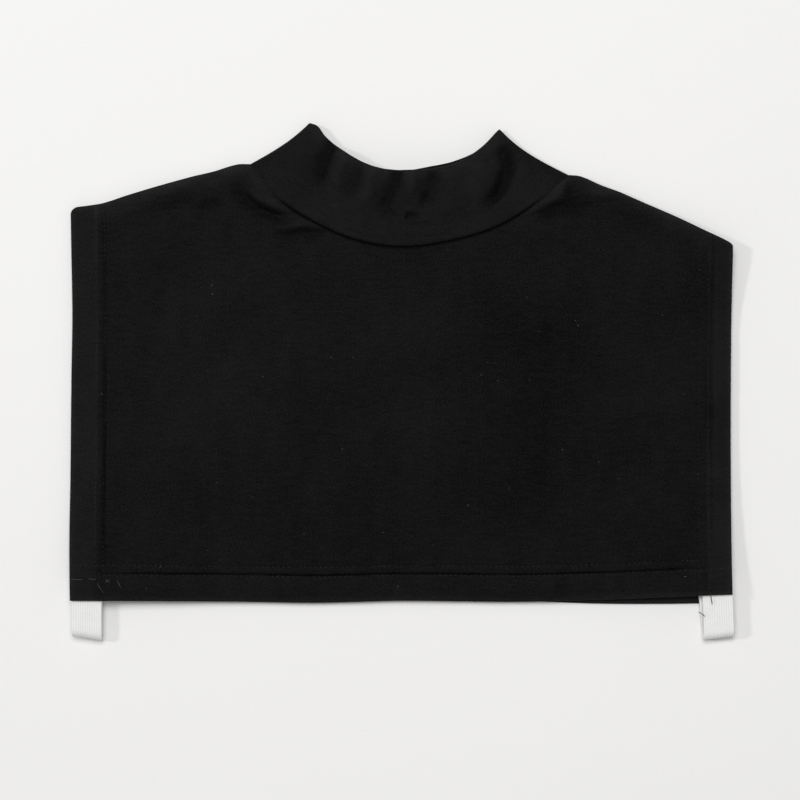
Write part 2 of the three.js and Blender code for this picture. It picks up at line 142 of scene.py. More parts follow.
# The origin lies under the middle of the outline, from the loops' folds to the collar's tip.
OUTLINE_TOP = BODY_LENGTH - NECK_DROP * TIP_DROP + COLLAR_HEIGHT * TIP_RISE
OUTLINE_BOTTOM = -ELASTIC_DROP - LARGEST_SLANT * ELASTIC_WIDTH / 2
HEM_Y = -(OUTLINE_TOP + OUTLINE_BOTTOM) / 2
print(f"hem line at y = {HEM_Y:.1f} mm")

# %% Tables


def table(*rows):
    return np.array(rows)


# Round the neck from the left neck point: the seam across and down, the way the band's own
# threads lean and climb, and how far the back shows above the front.
NECK = table(
    # around, across, drop, lean, climb, over
    (0.0, -1.0, 0.037, 0.784, 0.547, 0.0),
    (0.125, -0.823, 0.437, 0.679, 0.74, 0.0),
    (0.25, -0.582, 0.725, 0.468, 0.856, 0.0),
    (0.375, -0.312, 0.931, 0.227, 0.943, 0.0),
    (0.5, -0.022, 1.0, -0.026, 0.987, 0.012),
    (0.625, 0.262, 0.925, -0.273, 0.918, 0.054),
    (0.75, 0.539, 0.769, -0.506, 0.825, 0.049),
    (0.875, 0.792, 0.49, -0.721, 0.707, 0.0),
    (1.0, 1.0, 0.164, -0.9, 0.6, 0.0),
)
# The shoulders from the side edge (0) to the neck point (1), as shares of each one's drop.
LEFT_SHOULDER = table(
    # run, drop
    (0.0, 1.14),
    (0.009, 1.065),
    (0.018, 1.03),
    (0.033, 0.995),
    (0.1, 0.958),
    (0.188, 0.894),
    (0.332, 0.7),
    (0.664, 0.304),
    (0.8, 0.168),
    (0.93, 0.009),
    (1.0, 0.0),
)
RIGHT_SHOULDER = table(
    # run, drop
    (0.0, 1.009),
    (0.02, 0.959),
    (0.19, 0.768),
    (0.383, 0.554),
    (0.674, 0.26),
    (0.8, 0.149),
    (0.93, 0.017),
    (1.0, 0.0),
)
# The two hems above the hem line, as shares of the body's length.
HEM_LINES = table(
    # across, front, back
    (-1.0, 0.0025, 0.006),
    (-0.5, -0.0014, 0.003),
    (-0.25, -0.0041, 0.0),
    (0.0, 0.0004, 0.002),
    (0.35, -0.002, -0.001),
    (0.6, 0.003, -0.0068),
    (0.8, 0.0095, -0.0074),
    (0.92, 0.014, -0.006),
    (1.0, 0.0165, -0.0046),
)
# How far the side edges stray, as shares of the panel's width.
SIDE_EDGES = table(
    # up, left, right
    (0.0, 0.0011, -0.002),
    (0.15, -0.001, -0.0024),
    (0.3, 0.0, -0.0025),
    (0.5, 0.001, -0.0024),
    (0.65, 0.0025, -0.0015),
    (0.8, 0.0008, -0.001),
    (1.0, -0.0015, 0.0),
)
# The air between front and back, as shares of AIR, at five places across.
AIR_ACROSS = (-1.0, -0.48, 0.02, 0.52, 1.0)
AIR_ROWS = table(
    # up, then the five places
    (0.0, 1.16, 0.22, 0.16, 0.22, 1.16),
    (0.2, 0.34, 0.62, 0.7, 0.62, 0.34),
    (0.45, 0.1, 0.72, 0.86, 0.72, 0.1),
    (0.7, 0.08, 0.62, 0.9, 0.62, 0.08),
    (0.88, 0.04, 0.3, 0.9, 0.3, 0.04),
    (1.0, 0.0, 0.0, 0.9, 0.0, 0.0),
)


def curve(keys, values, at):
    """A smooth curve through a table's column. Each value may be an array as large as at."""
    keys = np.asarray(keys, float)
    at = np.clip(np.asarray(at, float), keys[0], keys[-1])
    rows = np.stack(np.broadcast_arrays(*values, at)[:-1]).astype(float)
    last = len(keys) - 1
    i = np.clip(np.searchsorted(keys, at) - 1, 0, last - 1)

    def value(k):
        return np.take_along_axis(rows, np.asarray(k)[None], 0)[0]

    def slope(a, b):
        return (value(b) - value(a)) / (keys[b] - keys[a])

    run = keys[i + 1] - keys[i]
    t = (at - keys[i]) / run
    leave = slope(np.maximum(i - 1, 0), i + 1) * run
    arrive = slope(i, np.minimum(i + 2, last)) * run
    return (
        (2 * t**3 - 3 * t**2 + 1) * value(i)
        + (t**3 - 2 * t**2 + t) * leave
        + (3 * t**2 - 2 * t**3) * value(i + 1)
        + (t**3 - t**2) * arrive
    )


def read(rows, column, at):
    """A table's column, at any places between its rows."""
    return curve(rows[:, 0], rows[:, column], at)


def ramp(at, start, end):
    """0 before start, 1 after end, and a smooth rise between them."""
    t = np.clip((np.asarray(at, float) - start) / (end - start), 0, 1)
    return t * t * (3 - 2 * t)


def bump_at(distance, centre, width):
    """A smooth bump across a line, 1 high."""
    return np.exp(-(((np.asarray(distance) - centre) / width) ** 2))


def collar_point(around, up, front=True):
    """The neckline at up = 0, and the collar's edge above it at up = 1, in plan."""
    across, drop, lean, climb, over = (read(NECK, k, around) for k in range(1, 6))
    waist = np.where(np.asarray(around) < 0.5, LEFT_WAIST, RIGHT_WAIST)
    hollow = waist * np.sin(np.pi * up) * (1 - 2 * around) ** WAIST_FADE
    height = COLLAR_HEIGHT * up * np.where(front, 1.0, 1.0 + over)
    tip = sum(rise * bump_at(around, at, reach) for at, reach, rise in TIP_SHAPE)
    height = height + tip * up**TIP_FADE
    x = NECK_OFFSET + across * NECK_WIDTH / 2 + lean * height + hollow
    y = HEM_Y + BODY_LENGTH - drop * NECK_DROP + climb * height
    return x, y


def hem_at(x, column):
    """The height on the plan of the front's hem (column 1) or the back's (column 2)."""
    return HEM_Y + read(HEM_LINES, column, x / HALF_WIDTH) * BODY_LENGTH


def walk(points):
    """How far along a line each of its points is."""
    steps = np.linalg.norm(np.diff(points, axis=0), axis=1)
    return np.concatenate([[0], np.cumsum(steps)])


SEAM_SAMPLES = 400
seam = np.stack(collar_point(np.linspace(0, 1, SEAM_SAMPLES), 0.0), axis=1)
print(f"neck seam {walk(seam)[-1]:.0f} mm in the front, and as much in the back")

# %% [markdown]
# ## How the cloth lies
#
# Cloth laid on a table is hardly ever flat. It swells where air is caught under it, a seam
# stands up as a ridge, and a fold left by the hands is steep on one side and soft on the other.
# A cloth simulation makes folds of its own choosing, and here they have to lie where the real
# ones do, so each fold is drawn: a few points, a width on either side, and a height.

# %% Folds
# Points are shares of half the width across and of the body's length up. Widths and heights
# are in millimetres: the width on the left of the line's direction, then on its right, and the
# height, below 0 for a valley. The last two are the shares of its length over which it fades.
FRONT_FOLDS = [
    # the left shoulder
    ([(-0.49, 0.955), (-0.445, 0.918), (-0.385, 0.898), (-0.31, 0.88)], 5, 2.6, 2.2, 0.25, 0.4),
    ([(-0.475, 0.925), (-0.44, 0.9), (-0.39, 0.88), (-0.31, 0.866)], 2.2, 5, -2.3, 0.15, 0.4),
    ([(-0.53, 0.935), (-0.49, 0.925), (-0.45, 0.905)], 6, 5, -1.9, 0.3, 0.3),
    ([(-0.56, 0.975), (-0.5, 0.975), (-0.46, 0.98)], 4, 4, 1.4, 0.3, 0.2),
    ([(-0.4, 0.845), (-0.33, 0.85), (-0.27, 0.852), (-0.19, 0.84)], 5, 2.6, 1.8, 0.4, 0.4),
    ([(-0.4, 0.826), (-0.31, 0.836), (-0.2, 0.832)], 2.4, 4.5, -1.9, 0.4, 0.4),
    ([(-0.54, 0.968), (-0.62, 0.956), (-0.72, 0.938), (-0.85, 0.916)], 4.4, 3.6, 1.2, 0.3, 0.4),
    ([(-0.61, 0.93), (-0.66, 0.918), (-0.72, 0.904), (-0.81, 0.892)], 5, 3, -2.0, 0.3, 0.5),
    ([(-0.53, 0.909), (-0.58, 0.903), (-0.63, 0.893)], 3, 2.4, -1.5, 0.3, 0.4),
    # the right shoulder
    ([(0.36, 0.882), (0.425, 0.898), (0.47, 0.918), (0.51, 0.95)], 5, 2.8, 2.0, 0.3, 0.2),
    ([(0.37, 0.868), (0.44, 0.884), (0.5, 0.896), (0.6, 0.893)], 3.4, 4.6, -2.2, 0.3, 0.3),
    ([(0.5, 0.945), (0.52, 0.92), (0.53, 0.9)], 3.5, 3.5, -1.5, 0.2, 0.3),
    ([(0.54, 0.925), (0.6, 0.925), (0.68, 0.925), (0.76, 0.92)], 5, 3, 1.9, 0.3, 0.5),
    ([(0.6, 0.895), (0.7, 0.88), (0.82, 0.855)], 5, 7, -0.9, 0.4, 0.4),
    ([(0.36, 0.84), (0.46, 0.85), (0.58, 0.865)], 6, 6, 0.5, 0.4, 0.4),
    ([(0.7, 0.905), (0.82, 0.872), (0.93, 0.83)], 5, 4, 1.0, 0.3, 0.3),
    # over the breast
    ([(-0.88, 0.325), (-0.72, 0.335), (-0.55, 0.33)], 5, 4, -0.55, 0.3, 0.4),
    ([(-0.88, 0.35), (-0.75, 0.352), (-0.62, 0.345)], 4, 5, 0.35, 0.3, 0.4),
    ([(-0.7, 0.8), (-0.6, 0.5), (-0.62, 0.2)], 34, 34, 0.8, 0.3, 0.3),
    ([(0.06, 0.75), (0.1, 0.5), (0.06, 0.2)], 24, 40, 0.5, 0.3, 0.3),
    ([(0.46, 0.78), (0.38, 0.45), (0.42, 0.08)], 44, 52, -1.5, 0.3, 0.3),
    ([(0.8, 0.62), (0.82, 0.5), (0.84, 0.4)], 30, 26, 0.9, 0.3, 0.3),
    # the right hem's crease
    ([(0.94, 0.8), (0.936, 0.55), (0.938, 0.3)], 1.6, 2.6, -0.9, 0.2, 0.3),
]
COLLAR_FOLDS = [
    # from the left tip
    ([(-0.2, 1.045), (-0.224, 1.005), (-0.24, 0.97), (-0.254, 0.93)], 3.0, 5.2, -3.2, 0.0, 0.35),
    ([(-0.165, 1.02), (-0.19, 0.97), (-0.2, 0.92)], 4, 4.5, 1.5, 0.0, 0.4),
    ([(-0.272, 1.03), (-0.277, 0.97), (-0.28, 0.89)], 8, 9, -1.1, 0.2, 0.3),
    ([(-0.115, 1.0), (-0.145, 0.945), (-0.17, 0.895)], 3.2, 6, -2.0, 0.3, 0.4),
    ([(-0.08, 0.985), (-0.1, 0.93), (-0.115, 0.88)], 5, 5, 1.7, 0.0, 0.4),
    # the middle
    (
        [(-0.006, 0.985), (-0.013, 0.95), (-0.035, 0.915), (-0.045, 0.89), (-0.005, 0.866)],
        *(2.6, 4.8, -2.5, 0.0, 0.35),
    ),
    ([(0.035, 0.985), (0.03, 0.94), (0.012, 0.9)], 4, 3, 1.7, 0.0, 0.4),
    ([(0.104, 0.985), (0.09, 0.935), (0.072, 0.893)], 4.5, 4.4, -1.9, 0.3, 0.3),
    ([(0.074, 0.914), (0.066, 0.9)], 2.4, 2.4, -1.5, 0.0, 0.0),
    ([(0.01, 0.872), (0.035, 0.872), (0.065, 0.878)], 1.8, 2.2, -1.8, 0.1, 0.5),
    ([(0.0, 0.853), (0.06, 0.853), (0.12, 0.855)], 1.6, 1.6, -0.6, 0.3, 0.4),
    ([(0.16, 0.98), (0.15, 0.92), (0.13, 0.87)], 6, 6, 0.8, 0.1, 0.3),
    # the deep crease by the right tip
    ([(0.235, 1.0), (0.235, 0.96), (0.2, 0.9)], 7, 7, 1.4, 0.1, 0.3),
    (
        [(0.308, 1.04), (0.327, 0.995), (0.314, 0.955), (0.287, 0.92), (0.238, 0.884)],
        *(3.0, 4.6, -4.8, 0.15, 0.35),
    ),
    ([(0.36, 1.0), (0.355, 0.96), (0.33, 0.92)], 4.0, 5.0, 0.9, 0.2, 0.4),
]


FOLD_STEPS = 6  # between two points of a fold
WAVES = 14
WAVE_POWER = 0.7  # how quickly they weaken as they shorten


def through(points, count):
    """Places along a smooth curve through a few points: their x, and their y."""
    points = np.asarray(points, float)
    knots = np.arange(len(points), dtype=float)
    at = np.linspace(0, knots[-1], count)
    return [curve(knots, points[:, k], at) for k in (0, 1)]


def smooth_line(points):
    """A curve through a few points of a fold, in millimetres on the plan."""
    across, up = through(points, FOLD_STEPS * (len(points) - 1) + 1)
    return np.stack([across * HALF_WIDTH, HEM_Y + up * BODY_LENGTH], axis=1)


def fold(x, y, points, left, right, height, fade_in, fade_out):
    """One fold's height at every place, steeper on the side where it is narrower."""
    line = smooth_line(points)
    lengths = np.linalg.norm(np.diff(line, axis=0), axis=1)
    walked = np.concatenate([[0], np.cumsum(lengths)])
    nearest = np.full(x.shape, np.inf)
    side, share = np.zeros(x.shape), np.zeros(x.shape)
    for a, b, length, start in zip(line[:-1], line[1:], lengths, walked):
        run = (b - a) / length
        t = np.clip((x - a[0]) * run[0] + (y - a[1]) * run[1], 0, length)
        away = np.hypot(x - a[0] - t * run[0], y - a[1] - t * run[1])
        closer = away < nearest
        nearest = np.where(closer, away, nearest)
        side = np.where(closer, (y - a[1]) * run[0] - (x - a[0]) * run[1], side)
        share = np.where(closer, (start + t) / walked[-1], share)
    width = np.where(side > 0, left, right)
    fades = np.ones(x.shape)
    if fade_in:
        fades = fades * ramp(share, 0, fade_in)
    if fade_out:
        fades = fades * ramp(1 - share, 0, fade_out)
    return height * fades * bump_at(nearest, 0, width)


def all_folds(x, y, folds):
    return sum(fold(x, y, *row) for row in folds)


def unevenness(x, y, seed, longest, shortest):
    """A few weak waves in all directions, up to about 1 high."""
    rng = np.random.default_rng(seed)
    total = np.zeros(np.broadcast(x, y).shape)
    for wavelength in np.geomspace(longest, shortest, WAVES):
        angle, phase = rng.uniform(0, 2 * np.pi, 2)
        run = x * np.cos(angle) + y * np.sin(angle)
        total += np.sin(2 * np.pi * run / wavelength + phase) * (wavelength / longest) ** WAVE_POWER
    return total / 4


print(len(FRONT_FOLDS), "folds in the front and", len(COLLAR_FOLDS), "in the collar")

# %% Heights
# The heights follow the solids: the back on the table, then the air, then the front.
RIPPLE = 0.35  # how uneven the front is, in millimetres
RIPPLE_WAVES = (3, 60, 9)  # a seed, then the longest and the shortest wave in millimetres


def air(x, y):
    """The air under the front."""
    up = (y - HEM_Y) / BODY_LENGTH
    shares = [read(AIR_ROWS, k, up) for k in range(1, 6)]
    return AIR * curve(AIR_ACROSS, shares, x / HALF_WIDTH)


def curl(x, y):
    """The right shoulder's corner, curled up off the table."""
    away = np.hypot(x - HALF_WIDTH, y - (HEM_Y + BODY_LENGTH - RIGHT_DROP))
    return CORNER_CURL * (1 - ramp(away, 0, CORNER_CURL_REACH))


def soft_floor(height, softness=0.25):
    """Never below 0, without a kink."""
    return (height + np.sqrt(height**2 + softness**2)) / 2


def back_face(x, y):
    """The side of the back's hem that looks up."""
    return curl(x, y) + WALL


def front_face(x, y, folds=1.0):
    """The side of the front's hem that looks down."""
    relief = all_folds(x, y, FRONT_FOLDS) + RIPPLE * unevenness(x, y, *RIPPLE_WAVES)
    return curl(x, y) + STACK + soft_floor(air(x, y) + folds * relief)


here = np.zeros(1)
print(f"the front stands {front_face(here, here)[0] + WALL:.1f} mm off the table in the middle")

# %% [markdown]
# ## Cloth with two faces
#
# Real cloth has a thickness, and it shows wherever an edge does. A flat grid with a Solidify
# modifier would give every edge a square corner. Here each piece is a skin round a row of
# closed sections instead, so a turned hem can be two layers thick and round at its fold, and
# the cloth behind it one layer thick.

# %% Skins
RIM_TURN = (9, 81)  # the first and last line round an edge, in degrees


def mesh_piece(name, points, faces):
    """A smooth mesh in the scene, from points in millimetres."""
    mesh = bpy.data.meshes.new(name)
    mesh.from_pydata((points.reshape(-1, 3) * MM).tolist(), [], faces)
    mesh.shade_smooth()
    return show(name, mesh)


def skin(name, sections, cloth, ring=False, painted_shading=None):
    """A closed mesh through sections[i, j], each a closed line. cloth[i, j] is each point's
    place on the cut cloth, in metres. A ring closes on itself, and others are capped.
    The last argument holds the painted shade and highlight at each point, for its material to read."""
    count, size = sections.shape[:2]
    spans = count if ring else count - 1
    i, j = np.meshgrid(np.arange(spans), np.arange(size), indexing="ij")
    corners = [(i, j), (i + 1, j), (i + 1, j + 1), (i, j + 1)]
    index = np.stack([(a % count) * size + b % size for a, b in corners], axis=-1)
    faces = index.reshape(-1, 4)
    uv = np.stack([cloth[a, b] for a, b in corners], axis=2).reshape(-1, 4, 2)
    if not ring:
        k = np.arange(size // 2 - 1)
        loop = np.stack([k, k + 1, size - 2 - k, size - 1 - k], axis=-1)
        last = (count - 1) * size + loop[:, ::-1]
        faces = np.concatenate([faces, loop, last])
        flat = cloth[:, :size].reshape(-1, 2)
        uv = np.concatenate([uv, flat[loop], flat[last]])
    piece = mesh_piece(name, sections, faces.tolist())
    layer = piece.data.uv_layers.new(name="cloth")
    layer.data.foreach_set("uv", uv.astype(np.float32).ravel())
    if painted_shading is not None:
        marks = piece.data.attributes.new("painted_shading", "FLOAT", "POINT")
        marks.data.foreach_set("value", painted_shading.astype(np.float32).ravel())
    piece.data.update()
    return piece


def cut_places(along, across):
    """Each point's place on the cut cloth, in metres, from its rows and its columns."""
    return np.stack(np.meshgrid(along, across, indexing="ij"), axis=-1) * MM


def unit(vectors):
    return vectors / np.linalg.norm(vectors, axis=-1, keepdims=True)


def places(*stretches):
    """Distances along a line, from stretches of (start, end, about how far apart)."""
    runs = [np.linspace(a, b, max(2, round((b - a) / step) + 1))[:-1] for a, b, step in stretches]
    return np.concatenate(runs)


def rim(radius, steps=5):
    """Distances from a round edge, and how full the wall is at each, up to 1."""
    angles = np.radians(np.linspace(*RIM_TURN, steps))
    return radius * (1 - np.cos(angles)), np.sin(angles)


print("a rim of 1 mm has lines at", np.round(rim(1.0)[0], 2), "mm")

# %% [markdown]
# ## The panels
#
# Front and back are cut alike: straight sides, a straight bottom, sloping shoulders and a
# scooped neck. Sides and bottom are turned in and sewn with a twin needle, which draws the cloth
# together into a low ridge between its two rows. Each panel is a grid of threads here, with
# columns and rows close together where the cloth has to bend tightly and far apart elsewhere.
#
# Black cloth hardly shows its shape by light and shade alone, so shade and highlight are
# painted on: its crowns, hems and edges are painted paler, and its creases, its neck seam and
# the lines that the hems pull in are painted darker. Every point of a panel carries one number
# for this painted shade and highlight, worked out from the same folds and hems as its height.
# Painting it on as an image would look the same from one side, but would be wrong as soon as a
# fold was moved.

# %% Lines of the grid
EDGE_RADIUS = 1.0
SEAM_RADIUS = 0.7
# Where the lines' spacing changes, in millimetres from the edge that they follow.
HEM_LINES_START, PULL_START, PULL_STOP, HEM_FIELD = 1.2, 13.2, 23.2, 26.0
SEAM_LINES_START, SEAM_NEAR, SEAM_FIELD = 0.9, 14.0, 60.0
SHOULDER_GAP, NECK_GAP = 2.2, 1.55  # from column to column, under the shoulders and the neck
MIDDLE_ROWS = 62


def hem_places(fineness):
    """Distances from a hemmed edge, close together where the stitching pulls."""
    return places(
        (HEM_LINES_START, PULL_START, 1.1 * fineness),
        (PULL_START, PULL_STOP, 0.42 * fineness),
        (PULL_STOP, HEM_FIELD, 1.4),
    )


def edge_lines(radius, beyond):
    """Lines at a round edge and beyond it: their distances, and how full the wall is there."""
    near, fullness = rim(radius)
    return np.concatenate([near, beyond]), np.concatenate([fullness, np.ones(len(beyond))])


def top_edge(x, inset):
    """The height on the plan of the shoulders and the neckline, from left to right."""
    left, right = collar_point(0.0, 0.0), collar_point(1.0, 0.0)
    end = HALF_WIDTH - inset
    left_run, right_run = (x + end) / (left[0] + end), (x - end) / (right[0] - end)
    left_top = left[1] - LEFT_DROP * read(LEFT_SHOULDER, 1, left_run)
    right_top = right[1] - RIGHT_DROP * read(RIGHT_SHOULDER, 1, right_run)
    neck_top = np.interp(x, seam[:, 0], seam[:, 1])
    return np.where(x < left[0], left_top, np.where(x > right[0], right_top, neck_top))


def panel_columns(inset, fineness):
    """The columns' places across, and how full the wall is at each."""
    sides, fullness = edge_lines(EDGE_RADIUS, hem_places(fineness))
    left, right = inset - HALF_WIDTH, HALF_WIDTH - inset
    neck = (float(collar_point(0.0, 0.0)[0]), float(collar_point(1.0, 0.0)[0]))
    field = places(
        (left + HEM_FIELD, neck[0], SHOULDER_GAP * fineness),
        (neck[0], neck[1], NECK_GAP * fineness),
        (neck[1], right - HEM_FIELD, SHOULDER_GAP * fineness),
    )
    x = np.concatenate([left + sides, field, [right - HEM_FIELD], right - sides[::-1]])
    full = np.concatenate([fullness, np.ones(len(field) + 1), fullness[::-1]])
    return x, full


def panel_rows(length, fineness):
    """The rows' distances from the hem for columns of these lengths, and the wall's fullness."""
    low, low_fullness = edge_lines(EDGE_RADIUS, hem_places(fineness))
    near, far = (SEAM_LINES_START, SEAM_NEAR, 0.95), (SEAM_NEAR, SEAM_FIELD, 1.15)
    below_seam = places(*((start, end, gap * fineness) for start, end, gap in (near, far)))
    high, high_fullness = edge_lines(SEAM_RADIUS, below_seam)
    middle = np.linspace(0, 1, round(MIDDLE_ROWS / fineness))
    length = length[:, None]
    spread = HEM_FIELD + middle * (length - SEAM_FIELD - HEM_FIELD)
    rows = np.concatenate([low + 0 * length, spread, length - high[::-1]], axis=1)
    return rows, np.concatenate([low_fullness, np.ones(len(middle)), high_fullness[::-1]])


print(len(panel_columns(0.0, 1.0)[0]), "columns in the front")

# %% Hems
LEFT_ROWS = (15.3, 20.1)  # the twin needle's two rows, in millimetres from the edge
RIGHT_ROWS = (14.6, 20.2)
BOTTOM_ROWS = (15.6, 21.4)
STITCH = 2.9  # from one stitch to the next
GROOVE, GROOVE_WIDTH = 0.2, 0.55  # how deep each row pulls the cloth in
TUNNEL, TUNNEL_SHARE = 0.3, 0.62  # how high it bulges between them, and over how much of it
PUCKER = 0.35  # how much the bulge changes from stitch to stitch
PUCKER_RUN, PUCKER_START = 0.11, 1.3  # which comes and goes along the hem
HEM_SWELL = 0.3  # how high the two layers stand outside the rows
# The line where a hem's folded edge shows: how far from the edge, how wide and how deep.
LEFT_PULL, RIGHT_PULL, BOTTOM_PULL = 20.6, 12.0, 16.5
SIDE_PULL_WIDTH, BOTTOM_PULL_WIDTH = 0.9, 0.7
PULL_DEPTH = 0.3
# The left hem's weakens by this much between these heights, and the right one's is weak.
LEFT_WEAKENS, LEFT_WEAKENING, RIGHT_STRENGTH = 0.55, (90, 190), 0.6
# How far from the other hem each line starts, and how uneven it is.
SIDE_PULL_STARTS, BOTTOM_PULL_STARTS = (17, 40), (26, 36)
PULL_PATCHES, PULL_WAVES = 0.45, (12, 60, 9)
SEAM_END = 84.0  # the neck seam's groove closes here, measured from the neck's middle
SEAM_LINE_END = 88.0  # and its painted shade fades out
SEAM_FADE = 19.0
SEAM_LINE_WIDTH = 1.1


def hem_relief(away, rows, along):
    """What the twin needle does to the cloth: two grooves, and a ridge between them."""
    middle, half = (rows[0] + rows[1]) / 2, (rows[1] - rows[0]) / 2
    comes_and_goes = np.sin(along * PUCKER_RUN + PUCKER_START)
    pucker = 1 + PUCKER * np.sin(along * 2 * np.pi / STITCH) * comes_and_goes
    ridge = TUNNEL * np.exp(-(((away - middle) / (TUNNEL_SHARE * half)) ** 4))
    grooves = sum(GROOVE * bump_at(away, row, GROOVE_WIDTH) for row in rows)
    swell = HEM_SWELL * bump_at(away, middle * 0.45, 0.4 * middle)
    return ridge * pucker - grooves + swell


def stray(x, y):
    """Moves the side edges off their straight lines."""
    up = (y - HEM_Y) / BODY_LENGTH
    left, right = (read(SIDE_EDGES, k, up) for k in (1, 2))
    return x + np.abs(x / HALF_WIDTH) ** 3 * np.where(x < 0, left, right) * PANEL_WIDTH


def seam_shows(x, end=SEAM_END):
    """1 where the neck seam is an open groove, and 0 by the neck points, where it is closed."""
    return 1 - ramp(np.abs(x - NECK_OFFSET), end - SEAM_FADE, end)


def seam_shade(x, away):
    """Painted shade along the open seam's groove: how much blacker the cloth is there."""
    return SEAM_SHADE * bump_at(away, 0, SEAM_LINE_WIDTH) * seam_shows(x, SEAM_LINE_END)


def drawn_in(x, to_side, to_bottom):
    """The sharp lines where the thread pulls the cloth down against the hem's folded edge."""
    left = 1 - LEFT_WEAKENS * ramp(to_bottom, *LEFT_WEAKENING)
    strength = np.where(x < 0, left, RIGHT_STRENGTH) * ramp(to_bottom, *SIDE_PULL_STARTS)
    side = bump_at(to_side, np.where(x < 0, LEFT_PULL, RIGHT_PULL), SIDE_PULL_WIDTH) * strength
    low = bump_at(to_bottom, BOTTOM_PULL, BOTTOM_PULL_WIDTH) * ramp(to_side, *BOTTOM_PULL_STARTS)
    return (side + low) * (1 + PULL_PATCHES * unevenness(x, to_bottom, *PULL_WAVES))


print("the twin needle's rows are", round(LEFT_ROWS[1] - LEFT_ROWS[0], 1), "mm apart on the left")

# %% Painted shade and highlight
# How much paler or darker each place is painted, as shade and highlight, for the jersey's material.
FOLD_SHADING = 0.13  # painted shade in the folds' valleys and painted highlight on their ridges, for each millimetre of a fold's height
# painted sheen along the doubled side hems
HEM_PAINTED_SHEEN = 0.3
# painted highlight along the shoulders' edges
LEFT_SHOULDER_HIGHLIGHT, RIGHT_SHOULDER_HIGHLIGHT = 0.42, 0.27
# painted shade in the neck seam's groove
SEAM_SHADE = 0.8
# painted shade along the lines that the hems' stitching pulls in
PULL_SHADE = 0.42
CREST_HIGHLIGHT = 0.3  # a painted highlight along the left hem's tunnel, on its side that faces the light
BAND_PALER = 0.18  # how much paler the whole collar is
EDGE_HIGHLIGHT, EDGE_REACH = 0.5, 2.2  # painted highlight along the panels' edges
TOP_HIGHLIGHT, TOP_REACH = 0.5, 6.0  # painted highlight along the collar's folded edge, on its crowns
# Where the hems' painted sheen and the shoulders' painted highlight fade out, in millimetres from
# their own edges.
SIDE_FADE = (13, 18)
BOTTOM_FADE = (14, 18)
SHOULDER_FADE = (3, 14)
SHOULDER_START = (60, 90)  # and where the shoulders' starts, from the middle
CREST, CREST_WIDTH, CREST_START = 15.4, 1.1, (22, 40)  # from the side, and above the hem
HEM_PATCHES, HEM_WAVES = 0.3, (11, 70, 9)  # how uneven the hems' painted sheen is
CREST_PATCHES, CREST_WAVES = 0.6, (14, 80, 9)
# The neckline is no edge: out to its ends from the middle, a place counts as this much farther in.
NECKLINE_IN, NECKLINE_END = 9.0, (84, 92)


def edge_distances(panel, x, y):
    """How far a place is inside the panel's side, its hem and its top."""
    to_side = HALF_WIDTH - panel["inset"] - np.abs(x)
    return to_side, y - hem_at(x, panel["hem"]), top_edge(x, panel["inset"]) - y


def panel_painted_shading(panel, x, y):
    """Painted shade and highlight: paler on crowns, hems and edges, darker in creases, the seam and
    the lines pulled in by the hems.
    """
    to_side, to_bottom, to_top = edge_distances(panel, x, y)
    # painted shade in the valleys and painted highlight on the ridges of the folds
    creases = np.clip(FOLD_SHADING * all_folds(stray(x, y), y, FRONT_FOLDS), -1, 1)
    # painted sheen along the hems, painted light on the bottom hems, and painted highlight along
    # the shoulders' edges
    side_hem = HEM_PAINTED_SHEEN * (1 - ramp(to_side, *SIDE_FADE))
    low_hem = panel["low_hem_light"] * (1 - ramp(to_bottom, *BOTTOM_FADE))
    shoulder = np.where(x < 0, LEFT_SHOULDER_HIGHLIGHT, RIGHT_SHOULDER_HIGHLIGHT)
    shoulder = shoulder * (1 - ramp(to_top, *SHOULDER_FADE)) * ramp(np.abs(x), *SHOULDER_START)
    painted_sheen = np.maximum.reduce([side_hem, low_hem, shoulder])
    patchy = painted_sheen * (1 + HEM_PATCHES * unevenness(x, y, *HEM_WAVES))
    # painted shade along the pulled-in lines
    pulls = PULL_SHADE * drawn_in(x, to_side, to_bottom)
    # painted highlight along the left hem's tunnel
    crest = CREST_HIGHLIGHT * bump_at(to_side, CREST, CREST_WIDTH) * (x < 0)
    crest = crest * (1 + CREST_PATCHES * unevenness(x, y, *CREST_WAVES))
    crest = crest * ramp(to_bottom, *CREST_START)
    # painted highlight along the panels' edges, but not along the neckline
    outer_top = to_top + NECKLINE_IN * (1 - ramp(np.abs(x), *NECKLINE_END))
    edges = EDGE_HIGHLIGHT * bump_at(np.minimum.reduce([to_side, to_bottom, outer_top]), 0, EDGE_REACH)
    return creases + patchy + crest + edges - seam_shade(x, to_top) - pulls


# Where a hem's relief begins: below the top edge, and in from the side for the bottom's.
CALM, CORNER_CALM = (2, 14), (8, 16)
TWO_LAYERS = 1.999  # or a hair less


def panel_point(panel, x, y):
    """Where a thread of the cut panel lies: its place, and the two faces' heights."""
    distances = edge_distances(panel, x, y)
    turned_in = zip(distances, (SIDE_HEM, BOTTOM_HEM, SEAM_ALLOWANCE))
    layers = 1 + np.maximum.reduce([1 - ramp(d, wide, wide + HEM_STEP) for d, wide in turned_in])
    to_side, to_bottom, to_top = distances
    shifted = stray(x, y)
    inner = panel["face"](shifted, y)
    outer = inner - panel["looks"] * WALL
    if panel["looks"] < 0:
        calm = ramp(to_top, *CALM)
        left, right = (hem_relief(to_side, rows, y) for rows in (LEFT_ROWS, RIGHT_ROWS))
        outer = outer + calm * np.where(x < 0, left, right)
        outer = outer + ramp(to_side, *CORNER_CALM) * hem_relief(to_bottom, BOTTOM_ROWS, x)
        outer = outer - PULL_DEPTH * calm * drawn_in(x, to_side, to_bottom)
    other = np.where(layers > TWO_LAYERS, inner, outer + panel["looks"] * CLOTH * layers)
    return shifted, outer, other


